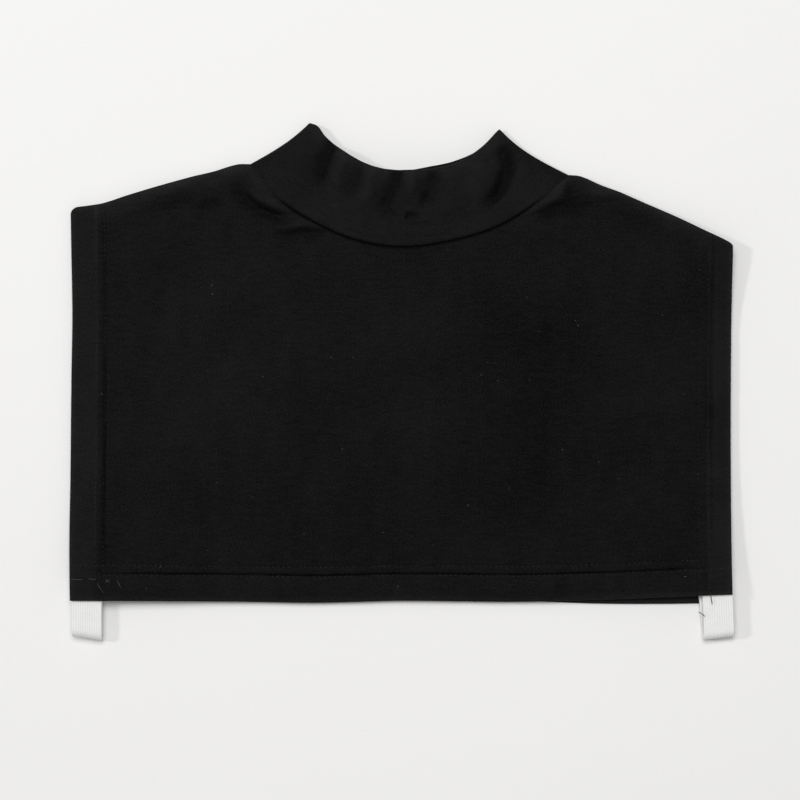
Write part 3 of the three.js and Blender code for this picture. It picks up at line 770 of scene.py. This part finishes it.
def make_panel(panel):
    x, full_x = panel_columns(panel["inset"], panel["fineness"])
    bottom = hem_at(x, panel["hem"])
    rows, full_y = panel_rows(top_edge(x, panel["inset"]) - bottom, panel["fineness"])
    y = bottom[:, None] + rows
    x = np.broadcast_to(x[:, None], y.shape)
    shifted, outer, other = panel_point(panel, x, y)
    top_rim = np.arange(len(full_y)) > len(full_y) // 2
    groove = np.where(top_rim, seam_shows(x[:, :1]), 1.0)
    full = full_x[:, None] * (1 - (1 - full_y[None, :]) * groove)
    middle, half = (outer + other) / 2, np.abs(outer - other) / 2 * full
    upper = np.stack([shifted, y, middle + half], axis=-1)
    under = np.stack([shifted, y, middle - half], axis=-1)
    sections = np.concatenate([upper, under[:, ::-1]], axis=1)
    cut = np.stack([x, y], axis=-1) * MM
    cloth = np.concatenate([cut, cut[:, ::-1], cut[:, :1]], axis=1)
    painted_shading = panel_painted_shading(panel, x, y)
    both_faces = np.concatenate([painted_shading, painted_shading[:, ::-1]], axis=1)
    return skin(panel["name"], sections, cloth, painted_shading=both_faces)


FRONT = {
    "name": "front",
    "hem": 1,  # the column of HEM_LINES
    "inset": 0.0,
    "face": front_face,
    "looks": -1,  # this face looks down
    "fineness": 1.0,
    # painted sheen along the front's bottom hem
    "low_hem_light": 0.09,
}
BACK = {
    "name": "back",
    "hem": 2,
    "inset": BACK_INSET,
    "face": back_face,
    "looks": 1,
    "fineness": 1.8,
    "low_hem_light": 1.0,  # painted light, lifting the shade that the front casts on the back's bottom hem
}

front = make_panel(FRONT)
back = make_panel(BACK)
for piece in (front, back):
    print(piece.name, len(piece.data.polygons), "faces")

# %% [markdown]
# ## The collar
#
# The collar is one band of cloth folded along its top edge, so it is two layers thick all
# over, and sewn into a ring round the neckline. Pressed flat it has a sharp fold at either
# side, a front that swells over the back, and creases that run down from its top edge. The
# section drawn here goes up the outer layer, over the fold, down the inner layer, and back
# through the hairline slit between them, so the band really is folded.

# %% The band's section
FOLD_RADIUS = WALL / 2
LAYER_RADIUS = 0.55  # the lower end of each layer, by the seam
SEAM_START = -0.06  # a hair past the panel's edge, so that no light shows through
SLIT = 0.05  # half its width
END_TURNS = np.radians([20, 43, 66, 89])
FOLD_TURNS = np.radians(np.arange(15, 180, 15))
OUTER_GAP, INNER_GAP, SLIT_GAP = 1.05, 2.4, 4.0  # from point to point of the section


def band_section():
    """Points of the section: millimetres above the seam, and through the wall from the inside."""
    top = COLLAR_HEIGHT - FOLD_RADIUS
    low = SEAM_START + LAYER_RADIUS
    outer_up = np.append(places((low, top, OUTER_GAP)), top)
    inner_down = np.append(places((low, top, INNER_GAP)), top)[::-1]
    outer_end = [
        (low - LAYER_RADIUS * math.cos(a), WALL - LAYER_RADIUS * (1 - math.sin(a)))
        for a in END_TURNS
    ]
    inner_end = [(u, WALL - t) for u, t in reversed(outer_end)]
    slit_top = top + FOLD_RADIUS * 0.1
    slit = np.append(places((low, slit_top, SLIT_GAP)), slit_top)
    return np.array(
        outer_end
        + [(u, WALL) for u in outer_up]
        + [(top + FOLD_RADIUS * math.sin(a), CLOTH + FOLD_RADIUS * math.cos(a)) for a in FOLD_TURNS]
        + [(u, 0.0) for u in inner_down]
        + inner_end
        + [(u, CLOTH - SLIT) for u in (SEAM_START, *slit)]
        + [(u, CLOTH + SLIT) for u in (*slit[::-1], SEAM_START)]
    )


section = band_section()
section_run = walk(section)
print(len(section), "points in the section,", f"{section_run[-1]:.0f} mm of cloth")

# %% The ring
BEND_RADIUS = WALL + CREASE_HOLLOW / 2  # outside, at the two side folds
BEND_STEPS = 8
LENGTH_SAMPLES = 60
FRONT_STATIONS, BACK_STATIONS = 236, 70
LAST_STEP = 0.5  # from the last point of a ring or a section back to its first
BELL = 0.8  # how quickly the swelling starts beside a side fold
PANEL_REACH = 14.0  # how far up the front's own folds carry on
CREASE_START, BAND_START = (1, 9), (2, 10)  # where the band's creases and its ripple begin
BAND_RIPPLE, BAND_WAVES = 0.5, (8, 34, 6)
BAND_SOFTNESS = 0.8
CROWN = 4  # how much faster than a crease's own painted shade the folded edge's painted highlight fades in it


def row_length(up):
    """How long each thread of the band is from one side fold to the other."""
    share = np.linspace(0, 1, LENGTH_SAMPLES)[:, None]
    x, y = collar_point(share, up[None, :])
    return np.hypot(np.diff(x, axis=0), np.diff(y, axis=0)).sum(axis=0)


def band_face(around, up):
    """The height of the front wall's inner face."""
    seam_x, seam_y = collar_point(around, 0 * up)
    x, y = collar_point(around, up)
    bell = np.sin(np.pi * around) ** BELL
    flat = front_face(seam_x, seam_y, folds=0.0)
    seam_rise = front_face(seam_x, seam_y) - flat
    above = up * COLLAR_HEIGHT
    height = flat + seam_rise * (1 - ramp(above, 0, PANEL_REACH)) + COLLAR_SWELL * bell * up
    height = height + all_folds(x, y, COLLAR_FOLDS) * np.sqrt(ramp(above, *CREASE_START))
    ripple = BAND_RIPPLE * bell * unevenness(x, y, *BAND_WAVES)
    height = height + ripple * ramp(above, *BAND_START)
    lowest = WALL + CREASE_HOLLOW
    return lowest + soft_floor(height - lowest, BAND_SOFTNESS * bell + 0.01)


def band_stations():
    """Round the band: side (1 front, -1 back), turn round a side fold (0 at its edge, 1 where
    it ends) and the share of the way from the left fold to the right one."""
    turns = np.arange(BEND_STEPS) / BEND_STEPS
    rows = [(1, t, 0.0) for t in turns]
    rows += [(1, 1.0, r) for r in np.linspace(0, 1, FRONT_STATIONS)]
    rows += [(1, t, 1.0) for t in turns[::-1]]
    rows += [(-1, t, 1.0) for t in turns[1:]]
    rows += [(-1, 1.0, r) for r in np.linspace(1, 0, BACK_STATIONS)]
    rows += [(-1, t, 0.0) for t in turns[:0:-1]]
    return np.array(rows)


def make_collar():
    side, turn, run = (band_stations()[:, k][:, None] for k in range(3))
    up = (section[:, 0] / COLLAR_HEIGHT)[None, :]
    length = row_length(up[0])[None, :]
    angle = turn * np.pi / 2
    hollow = CREASE_HOLLOW / 2

    def share(radius):
        from_fold = BEND_RADIUS - radius * np.cos(angle)
        along = np.where(turn < 1, from_fold, BEND_RADIUS + run * (length - 2 * BEND_RADIUS))
        along = np.where((turn < 1) & (run > 0.5), length - from_fold, along)
        return np.clip(along / length, 0, 1)

    def point(radius, height):
        x, y = collar_point(share(radius), up, side > 0)
        z = np.where(turn < 1, BEND_RADIUS + side * radius * np.sin(angle), height)
        return np.stack(np.broadcast_arrays(x, y, z), axis=-1)

    inner = band_face(share(hollow), np.broadcast_to(up, share(hollow).shape))
    is_front = side > 0
    outside = point(BEND_RADIUS, np.where(is_front, inner + WALL, 0.0 * inner))
    inside = point(hollow, np.where(is_front, inner, WALL + 0.0 * inner))
    seam_x = collar_point(share(BEND_RADIUS), 0 * up)[0]
    at_seam = np.arange(len(section)) < len(END_TURNS)
    closed = np.where(at_seam & is_front, 1 - seam_shows(seam_x), 0.0)
    depth = section[:, 1] + (WALL - section[:, 1]) * closed
    sections = inside + (outside - inside) * (depth / WALL)[..., None]
    runs = (walk(outside[:, 0]), section_run)
    cloth = cut_places(*(np.append(run, run[-1] + LAST_STEP) for run in runs))
    x, y = collar_point(share(BEND_RADIUS), up)
    # painted shade in the band's valleys and painted highlight on its ridges
    creases = np.clip(FOLD_SHADING * all_folds(x, y, COLLAR_FOLDS), -1, 1)
    above = up * COLLAR_HEIGHT
    # painted highlight along the folded edge, which fades in the creases
    crown = np.clip(1 + CROWN * creases, 0, 1)
    folded_edge = TOP_HIGHLIGHT * bump_at(above, COLLAR_HEIGHT, TOP_REACH) * crown
    shows = folded_edge + creases - seam_shade(seam_x, above)
    painted_shading = BAND_PALER + np.where(is_front, shows, 0.0)
    return skin("collar_band", sections[:, ::-1], cloth[:, ::-1], ring=True, painted_shading=painted_shading[:, ::-1])


collar = make_collar()
print(collar.name, len(collar.data.polygons), "faces")

# %% [markdown]
# ## The elastic loops
#
# A loop is a short length of ribbed elastic, folded over below the hem, with one end sewn
# inside the front's hem and the other inside the back's. Its ribs are cords of rubber under the
# weave, and they run along the loop, so they are modelled: light catches them even from afar.

# %% Elastic
RIBS = 13
RIB_DEPTH = 0.1
RIB_POINTS = 6
SELVEDGE = 0.7  # outside the ribs
LIMB_STEPS = 14
BEND_TURNS = 28
LOOPS = [
    # name, side, slant, how far aside the fold lies and then the limb at the back
    ("loop_left", -1, -0.155, 0.0, 0.0),
    ("loop_right", 1, 0.12, 0.1, -0.1),
]


def loop_path(x, slant):
    """The middle of the elastic, from the back's hem round to the front's, seen from the side."""
    half = ELASTIC_THICKNESS / 2
    back_hem, front_hem = hem_at(x, 2), hem_at(x, 1)

    def low(y):
        return back_face(x, y) + ELASTIC_CLEARANCE + half

    def high(y):
        return front_face(np.full(y.shape, x), y) - ELASTIC_CLEARANCE - half

    top = high(np.array([front_hem]))[0]
    radius = (top - half) / 2
    centre = (HEM_Y - ELASTIC_DROP + half + radius + slant, half + radius)
    held_low = np.linspace(back_hem + ELASTIC_SEWN_IN, back_hem, LIMB_STEPS)[:-1]
    free_low = np.linspace(back_hem, centre[0], LIMB_STEPS)[:-1]
    angles = -np.pi / 2 - np.linspace(0, np.pi, BEND_TURNS)
    free_high = np.linspace(centre[0], front_hem, LIMB_STEPS)[1:-1]
    held_high = np.linspace(front_hem, front_hem + ELASTIC_SEWN_IN, LIMB_STEPS)
    rise = ramp(free_low, centre[0], back_hem)
    y = [held_low, free_low, centre[0] + radius * np.cos(angles), free_high, held_high]
    z = [
        low(held_low),
        half + (low(back_hem) - half) * rise,
        centre[1] + radius * np.sin(angles),
        np.full(free_high.shape, top),
        high(held_high),
    ]
    return np.stack([np.concatenate(y), np.concatenate(z)], axis=-1)


def make_loop(name, side, slant, fold_shift, back_shift):
    near, fullness = rim(ELASTIC_THICKNESS / 2, 4)
    ribs = np.linspace(SELVEDGE, ELASTIC_WIDTH - SELVEDGE, RIBS * RIB_POINTS)
    across = np.concatenate([near, ribs, ELASTIC_WIDTH - near[::-1]]) - ELASTIC_WIDTH / 2
    full = np.concatenate([fullness, np.ones(len(ribs)), fullness[::-1]])
    cord = 0.5 - 0.5 * np.cos(2 * np.pi * RIBS * (across / ELASTIC_WIDTH + 0.5))
    half = full * (ELASTIC_THICKNESS / 2 - RIB_DEPTH * (1 - cord))
    middle = side * (HALF_WIDTH - ELASTIC_INSET - ELASTIC_WIDTH / 2)
    path = np.stack([loop_path(middle + a, slant * a) for a in across], axis=1)
    run = unit(np.gradient(path, axis=0))
    around_it = np.linspace(0, 1, len(path))
    shift = curve((0, 0.5, 1), (back_shift, fold_shift, 0.0), around_it) * ELASTIC_WIDTH
    x = middle + across[None, :] + shift[:, None]

    def face(offset):
        y = path[..., 0] - run[..., 1] * offset
        z = path[..., 1] + run[..., 0] * offset
        return np.stack([np.broadcast_to(x, y.shape), y, z], axis=-1)

    sections = np.concatenate([face(half), face(-half)[:, ::-1]], axis=1)
    walked = walk(path[:, 0])
    cloth = cut_places(walked, np.concatenate([across, across[::-1], across[:1]]))
    return skin(name, sections, cloth), walked[-1]


loops, loop_lengths = zip(*[make_loop(*row) for row in LOOPS])
print("loops", [f"{length:.0f} mm long" for length in loop_lengths])

# %% [markdown]
# ## Thread
#
# Stitches, loose ends and lint are all thread of some kind, so one function makes them all:
# a thin tube with pointed ends along each path. A curve object with a bevel would be quicker to
# draw, but a thousand stitches as one plain mesh are lighter to render.

# %% Strands
THREAD_SIDES = 6
BLUNT = 0.04  # how thin an end gets, as the square of a share


def strands(name, paths, radius, sides=THREAD_SIDES):
    """Tubes along paths[k, i], a row of points each, as one mesh."""
    paths = np.asarray(paths, float)
    count, steps = paths.shape[:2]
    run = unit(np.gradient(paths, axis=1))
    across = unit(np.cross(run, (0.0, 0.0, 1.0)))
    over = np.cross(across, run)
    taper = np.sqrt(np.clip(1 - np.linspace(-1, 1, steps) ** 6, BLUNT, 1))[:, None, None]
    angle = np.linspace(0, 2 * np.pi, sides, endpoint=False)[:, None]
    round_it = np.cos(angle) * across[:, :, None] + np.sin(angle) * over[:, :, None]
    points = paths[:, :, None] + radius * taper * round_it
    k, i, j = np.meshgrid(np.arange(count), np.arange(steps - 1), np.arange(sides), indexing="ij")
    corners = [(i, j), (i, (j + 1) % sides), (i + 1, (j + 1) % sides), (i + 1, j)]
    quads = np.stack([(k * steps + a) * sides + b for a, b in corners], axis=-1).reshape(-1, 4)
    start = (np.arange(count) * steps * sides)[:, None] + np.arange(sides)[::-1]
    end = start[:, ::-1] + (steps - 1) * sides
    return mesh_piece(name, points, quads.tolist() + start.tolist() + end.tolist())


STITCH_SHARE = 0.52  # how much of a stitch shows as thread
STITCH_POINTS = 6
STITCH_DIP, STITCH_ARCH = 0.14, 0.22  # how deep its ends lie, and how high it arches
THREAD_RADIUS = 0.17
SIDE_PULL_IN, BOTTOM_PULL_IN = 0.2, 0.13  # how deep the stitches lie, on average
PULL_IN_CHANGES, PULL_IN_WAVES = 1.5, (5, 45, 3)
DEEPEST = 0.34
ROW_KNOTS = 25  # a bottom row is sewn in straight runs between so many places
ROW_STOPS = 3  # below the shoulder
ROW_ENDS = ((17, 4), (3, 12))  # how far from the sides the bottom's two rows end


def row_of_stitches(panel, start, end, pull_in):
    """Stitches along a line of the cut panel, each dipping into the cloth at its ends, and some
    pulled in deeper than others."""
    length = math.dist(start, end)
    count = int(length / STITCH)
    share = (np.arange(count)[:, None] + np.linspace(0, STITCH_SHARE, STITCH_POINTS)) / count
    x, y = (start[k] + (end[k] - start[k]) * share for k in (0, 1))
    shifted, outer = panel_point(panel, x, y)[:2]
    arch = STITCH_ARCH * np.sin(np.linspace(0, np.pi, STITCH_POINTS)) ** 0.7 - STITCH_DIP
    changes = 1 + PULL_IN_CHANGES * unevenness(x[:, :1], y[:, :1], *PULL_IN_WAVES)
    sunk = np.clip(pull_in * changes, 0, DEEPEST)
    return np.stack([shifted, y, outer - panel["looks"] * (arch - sunk)], axis=-1)


def stitching(name, panel):
    bottom = HEM_Y + BODY_LENGTH * HEM_LINES[:, panel["hem"]].min()
    rows = []
    for side, pair in ((-1, LEFT_ROWS), (1, RIGHT_ROWS)):
        for inside in pair:
            x = side * (HALF_WIDTH - panel["inset"] - inside)
            low, top = bottom + BOTTOM_ROWS[0], float(top_edge(x, panel["inset"])) - ROW_STOPS
            rows.append(row_of_stitches(panel, (x, low), (x, top), SIDE_PULL_IN))
    for above, (left_end, right_end) in zip(BOTTOM_ROWS, ROW_ENDS):
        knots = np.linspace(-HALF_WIDTH + left_end, HALF_WIDTH - right_end, ROW_KNOTS)
        hem = hem_at(knots, panel["hem"]) + above
        for a, b in zip(zip(knots, hem), zip(knots[1:], hem[1:])):
            rows.append(row_of_stitches(panel, a, b, BOTTOM_PULL_IN))
    return strands(name, np.concatenate(rows), THREAD_RADIUS)


front_stitching = stitching("front_stitching", FRONT)
back_stitching = stitching("back_stitching", BACK)
stitch_count = len(front_stitching.data.vertices) // (STITCH_POINTS * THREAD_SIDES)
print("stitches:", stitch_count, "in the front")

# %% Loose ends and lint
# Places on the plan, in millimetres: x, then y above the hem line.
PALE_ENDS = [
    [(-181.6, 11.2), (-180.3, 8.9), (-179.3, 7.4), (-178.2, 5.2)],
    [(-169.9, 12.9), (-169.2, 11.3), (-168.5, 9.8), (-167.6, 8.1)],
    [(-176.9, 11.6), (-176.0, 12.2), (-175.2, 12.6), (-174.6, 13.6)],
    [(-176.6, 13.4), (-176.0, 12.6), (-175.3, 12.0), (-174.4, 11.6)],
    [(-197.4, 13.4), (-195.2, 13.5), (-192.8, 13.3), (-190.8, 13.4)],
    [(-187.4, 13.4), (-185.6, 13.8), (-184.0, 13.3), (-182.4, 13.7)],
]
DARK_ENDS = [
    [(184.5, 5.6), (184.8, 3.0), (185.2, 0.8), (185.6, -1.6)],
    [(177.4, -6.0), (178.7, -6.8), (180.0, -7.7), (181.3, -8.8)],
]
LINT_SPOTS = [(117.9, 82.2), (185.7, 144.0), (187.5, 194.4)]
LINT_COUNT = 46
LINT_FIELD = ((-185, 185), (6, 205))
LINT_LENGTHS, LINT_BEND = (0.5, 1.5), 0.7
PALE_RADIUS, DARK_RADIUS, FIBRE_RADIUS = 0.08, 0.24, 0.04
END_LIFT, LINT_LIFT = 0.1, 0.12  # above the cloth
DROP_OFF = 0.8  # how far a dark end hangs down past the hem


def top_height(x, y):
    """The height of the front's outer face."""
    return panel_point(FRONT, x, y)[1]


def along_cloth(points, lift, steps=16):
    """A smooth path over the front through a few places."""
    x, y = through(points, steps)
    y = y + HEM_Y
    hem = hem_at(x, 1)
    sunk = np.where(y < hem, np.minimum(hem - y, DROP_OFF), 0.0)
    return np.stack([x, y, top_height(x, np.maximum(y, hem)) + lift - sunk], axis=-1)


def thread_ends(name, ends, radius):
    return strands(name, [along_cloth(end, END_LIFT) for end in ends], radius)


pale_ends = thread_ends("pale_thread_ends", PALE_ENDS, PALE_RADIUS)
dark_ends = thread_ends("dark_thread_ends", DARK_ENDS, DARK_RADIUS)

rng = np.random.default_rng(21)
scattered = np.stack([rng.uniform(*span, LINT_COUNT) for span in LINT_FIELD], axis=1)
spots = np.concatenate([LINT_SPOTS, scattered])
fibres = []
for number, (x, y) in enumerate(spots):
    size = LINT_LENGTHS[1] if number < len(LINT_SPOTS) else rng.uniform(*LINT_LENGTHS)
    angle, bend = rng.uniform(0, 2 * np.pi), rng.uniform(-LINT_BEND, LINT_BEND)
    turn = angle + bend * np.array([-1.0, 0.0, 1.0])
    steps = np.stack([np.cos(turn), np.sin(turn)], axis=1) * size / 2
    fibres.append(along_cloth(np.array([x, y]) + np.cumsum(steps, axis=0), LINT_LIFT, steps=8))
lint = strands("lint", fibres, FIBRE_RADIUS, sides=5)
print(len(spots), "fibres of lint")

# %% [markdown]
# ## Materials
#
# A material's nodes are arithmetic on numbers that vary over the surface, so the class below
# lets them be written as arithmetic. Python's operators make the Math nodes, and one method
# makes every other kind.

# %% Shader arithmetic


class Value:
    """A socket in a material, ready for sums."""

    def __init__(self, tree, socket):
        self.tree = tree
        self.socket = socket

    def make(self, kind, inputs, output=0, **settings):
        """Any other node: its type, its settings, and its sockets' values or links."""
        node = self.tree.nodes.new(kind)
        for setting, value in settings.items():
            setattr(node, setting, value)
        for name, value in inputs.items():
            if isinstance(value, Value):
                self.tree.links.new(value.socket, node.inputs[name])
            else:
                node.inputs[name].default_value = value
        return Value(self.tree, node.outputs[output])

    def math(self, operation, *operands):
        inputs = dict(enumerate((self, *operands)))
        return self.make("ShaderNodeMath", inputs, operation=operation)

    def __add__(self, other):
        return self.math("ADD", other)

    def __mul__(self, other):
        return self.math("MULTIPLY", other)

    def __sub__(self, other):
        return self.math("SUBTRACT", other)

    def __rsub__(self, other):
        return (self * -1.0).math("ADD", other)

    def __truediv__(self, other):
        return self.math("DIVIDE", other)

    def __pow__(self, other):
        return self.math("POWER", other)

    __radd__ = __add__
    __rmul__ = __mul__


def new_material(name):
    """An empty material, and places as they are in the room and on the cut cloth."""
    material = bpy.data.materials.new(name)
    material.use_nodes = True
    tree = material.node_tree
    tree.nodes.clear()
    place = tree.nodes.new("ShaderNodeTexCoord")
    return material, Value(tree, place.outputs["Object"]), Value(tree, place.outputs["UV"])


def finished(material, colour, roughness, specular, **more):
    """The material with its one shader on it."""
    inputs = {"Base Color": colour, "Roughness": roughness, "Specular IOR Level": specular}
    inputs |= {name.replace("_", " ").title(): value for name, value in more.items()}
    shader = colour.make("ShaderNodeBsdfPrincipled", inputs)
    out = material.node_tree.nodes.new("ShaderNodeOutputMaterial")
    material.node_tree.links.new(shader.socket, out.inputs["Surface"])
    return material


def split(place):
    """The x and y of a place, as numbers."""
    return [place.make("ShaderNodeSeparateXYZ", {0: place}, output=k) for k in (0, 1)]


def wave(place, length, kind="SINE"):
    """A wave from 0 to 1 along a number, with this wavelength."""
    return (place * (2 * math.pi / length)).math(kind) * 0.5 + 0.5


def bumps(height, strength, distance):
    inputs = {"Height": height, "Strength": strength, "Distance": distance}
    return height.make("ShaderNodeBump", inputs)


def noise(place, scale, stretch=(1.0, 1.0, 1.0), detail=3.0, roughness=0.55):
    """Soft noise, about 0.5 on average, drawn out along the axes that are stretched."""
    shrink = tuple(1 / s for s in stretch)
    drawn = place.make("ShaderNodeVectorMath", {0: place, 1: shrink}, operation="MULTIPLY")
    inputs = {"Vector": drawn, "Scale": scale, "Detail": detail, "Roughness": roughness}
    return place.make("ShaderNodeTexNoise", inputs)


def colour_between(mask, dark, pale):
    """A colour from dark to pale by a mask."""
    colour = mask.make("ShaderNodeValToRGB", {0: mask})
    for stop, shade in zip(colour.socket.node.color_ramp.elements, (dark, pale)):
        stop.color = (*shade, 1.0)
    return colour


print("shader arithmetic ready")

# %% [markdown]
# ### Black jersey
#
# Jersey is knitted in loops that show as columns of small Vs on its face. From a step away
# they vanish, and what is left is a matt black that is never even: yarn of slightly different
# thickness makes faint streaks along the rows, fibres stand off the surface and catch light
# wherever the cloth turns away, and dust has settled in it. The loops are a bump, the streaks
# are noise drawn out along the rows, and the fuzz is the shader's sheen. All of them are summed
# with the cloth's painted shade and highlight into one mask between two blacks.

# %% Black jersey
WALE = 0.00078  # the width of a column of loops, in metres
COURSE = 0.00058  # the height of a row
ARM_RISE = 1.3  # how far a loop's arms climb, in rows
CONTRAST = 2.25  # of the yarn's unevenness
SHADING_SHARE = 0.625  # how much the painted shade and highlight change the black
UNSHADED = 0.28  # the mask on flat cloth
BLACKEST, PALEST = (0.0004, 0.0004, 0.0004), (0.0154, 0.0153, 0.0161)


def knit_height(cloth):
    """The loops' relief, from 0 to 1."""
    x, y = split(cloth)
    arm = ((x / WALE).math("FRACT") - 0.5).math("ABSOLUTE")
    loop = wave(y / COURSE + arm * ARM_RISE, 1)
    furrow = 1 - (arm * 2.0) ** 4.0
    return loop * 0.55 + furrow * 0.45


def black_jersey():
    material, room, cloth = new_material("black_jersey")
    # the painted shade and highlight that each piece of cloth carries
    painted_shading = cloth.make("ShaderNodeAttribute", {}, output="Fac", attribute_name="painted_shading")
    streaks = noise(cloth, 420.0, stretch=(3.5, 1.0, 1.0), detail=2.0)
    columns = noise(cloth, 90.0, stretch=(1.0, 4.0, 1.0), detail=2.0)
    patches = noise(room, 26.0)
    specks = noise(cloth, 900.0, roughness=0.75)
    shade = 0.16 * streaks + 0.07 * columns + 0.17 * patches + 0.6 * specks
    mask = (shade - 0.5) * CONTRAST + SHADING_SHARE * painted_shading + UNSHADED
    relief = bumps(knit_height(cloth) * 0.75 + specks * 0.5, 0.7, 0.00022)
    colour = colour_between(mask, BLACKEST, PALEST)
    fuzz = {"sheen_weight": 0.012, "sheen_roughness": 0.4}
    return finished(material, colour, 0.5 + 0.2 * patches, 0.05, normal=relief, **fuzz)


jersey = black_jersey()
print("black jersey:", len(jersey.node_tree.nodes), "nodes")

# %% [markdown]
# ### Thread, elastic and lint
#
# Sewing thread is twisted and a little glossier than the jersey. The elastic is bleached
# yarn woven over its ribs; its colour is painted whiter on their crowns and a little grey
# between them, as painted shade in the grooves.

# %% Thread, elastic and lint


PICK = 0.0007  # from one thread across the ribs to the next, in metres


def yarn(name, dark, pale, roughness, sheen):
    material, room = new_material(name)[:2]
    fibres = noise(room, 900.0, detail=2.0)
    colour = colour_between((fibres - 0.3) * 2.5, dark, pale)
    relief = bumps(fibres, 0.4, 0.00008)
    rough = roughness + 0.15 * fibres
    return finished(material, colour, rough, 0.3, normal=relief, sheen_weight=sheen)


def ribbed_elastic():
    material, room, cloth = new_material("ribbed_elastic")
    along, across = split(cloth)
    ribs, picks = wave(across, ELASTIC_WIDTH * MM / RIBS, "COSINE"), wave(along, PICK)
    grime = noise(room, 160.0)
    # the ribs' term is painted shade: grey in the grooves between the ribs, white on their crowns
    mask = 0.35 + 0.4 * ribs + 0.25 * picks + 0.5 * (grime - 0.5)
    colour = colour_between(mask, (0.66, 0.66, 0.66), (0.86, 0.86, 0.85))
    relief = bumps(picks * 0.6 + noise(cloth, 2400.0, detail=1.0) * 0.6, 0.6, 0.00015)
    return finished(material, colour, 0.7 + 0.2 * grime, 0.25, normal=relief, sheen_weight=0.1)


elastic = ribbed_elastic()
black_thread = yarn("black_thread", (0.006, 0.006, 0.006), (0.022, 0.022, 0.023), 0.6, 0.02)
white_thread = yarn("white_thread", (0.07, 0.07, 0.066), (0.14, 0.14, 0.134), 0.7, 0.05)
fluff = yarn("fluff", (0.12, 0.12, 0.12), (0.35, 0.35, 0.35), 0.8, 0.1)
made = (elastic, black_thread, white_thread, fluff)
print("materials:", ", ".join(material.name for material in made))

# %% [markdown]
# ## The table and the light
#
# Light comes mostly from a broad soft box overhead, a little behind the collar. A small window
# low on the left adds the longer shadows, which fall to the right, and the rest of the room
# fills them. One small lamp alone would cut hard shadows all round, and an even sky alone would
# leave the folds in black cloth invisible.

# %% The table
floor_mesh = bpy.data.meshes.new("table")
REACH, BELOW = 3.0, -0.0002  # half its width, and how far it lies under the cloth, in metres
corners = [(x * REACH, y * REACH, BELOW) for x, y in ((-1, -1), (1, -1), (1, 1), (-1, 1))]
floor_mesh.from_pydata(corners, [], [(0, 1, 2, 3)])
floor = show("table", floor_mesh)

pale_table, place = new_material("pale_table")[:2]
tone = noise(place, 3.0, detail=2.0)
floor_colour = colour_between(tone, (0.845, 0.84, 0.835), (0.86, 0.857, 0.852))
floor_material = finished(pale_table, floor_colour, 0.9, 0.1)
print("table", 2 * REACH, "m wide")

# %% The light


def area_light(name, size, power, azimuth, elevation, distance):
    """A round lamp at an angle from +X and above the table, pointed at the garment."""
    data = bpy.data.lights.new(name, "AREA")
    data.shape, data.size, data.energy = "DISK", size, power
    lamp = show(name, data)
    a, e = math.radians(azimuth), math.radians(elevation)
    run = distance * math.cos(e)
    lamp.location = (run * math.cos(a), run * math.sin(a), distance * math.sin(e))
    lamp.rotation_mode = "QUATERNION"
    lamp.rotation_quaternion = (-lamp.location).to_track_quat("-Z", "Y")
    return lamp


window = area_light("window", 0.72, 72.0, azimuth=168, elevation=42, distance=6.0)
soft_box = area_light("soft_box", 1.6, 51.0, azimuth=98, elevation=73, distance=2.75)

world = bpy.data.worlds.new("room")
world.use_nodes = True
sky = world.node_tree.nodes["Background"]
sky.inputs["Color"].default_value = (1.0, 0.995, 0.985, 1.0)
sky.inputs["Strength"].default_value = 0.3
scene = bpy.context.scene
scene.world = world
scene.view_settings.view_transform = "Standard"
scene.view_settings.look = "None"
print("lights:", window.name, soft_box.name, "and the room")

# %% [markdown]
# ## The pieces
#
# Each piece is given its material and rides on the one body that the solids have.

# %% Pieces
FINISHES = [
    # piece, material, slot
    (front, jersey, "black_knit"),
    (back, jersey, "black_knit"),
    (collar, jersey, "black_knit"),
    (loops[0], elastic, "white_elastic"),
    (loops[1], elastic, "white_elastic"),
    (front_stitching, black_thread, "black_knit"),
    (back_stitching, black_thread, "black_knit"),
    (dark_ends, black_thread, "black_knit"),
    (pale_ends, white_thread, None),
    (lint, fluff, None),
]
for piece, material, slot in FINISHES:
    piece.data.materials.append(material)
    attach(piece, "root")
floor.data.materials.append(floor_material)
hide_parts("front_panel")
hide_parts("back_panel")
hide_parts("collar")
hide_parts("elastic_left")
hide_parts("elastic_right")
print(len(FINISHES), "pieces")
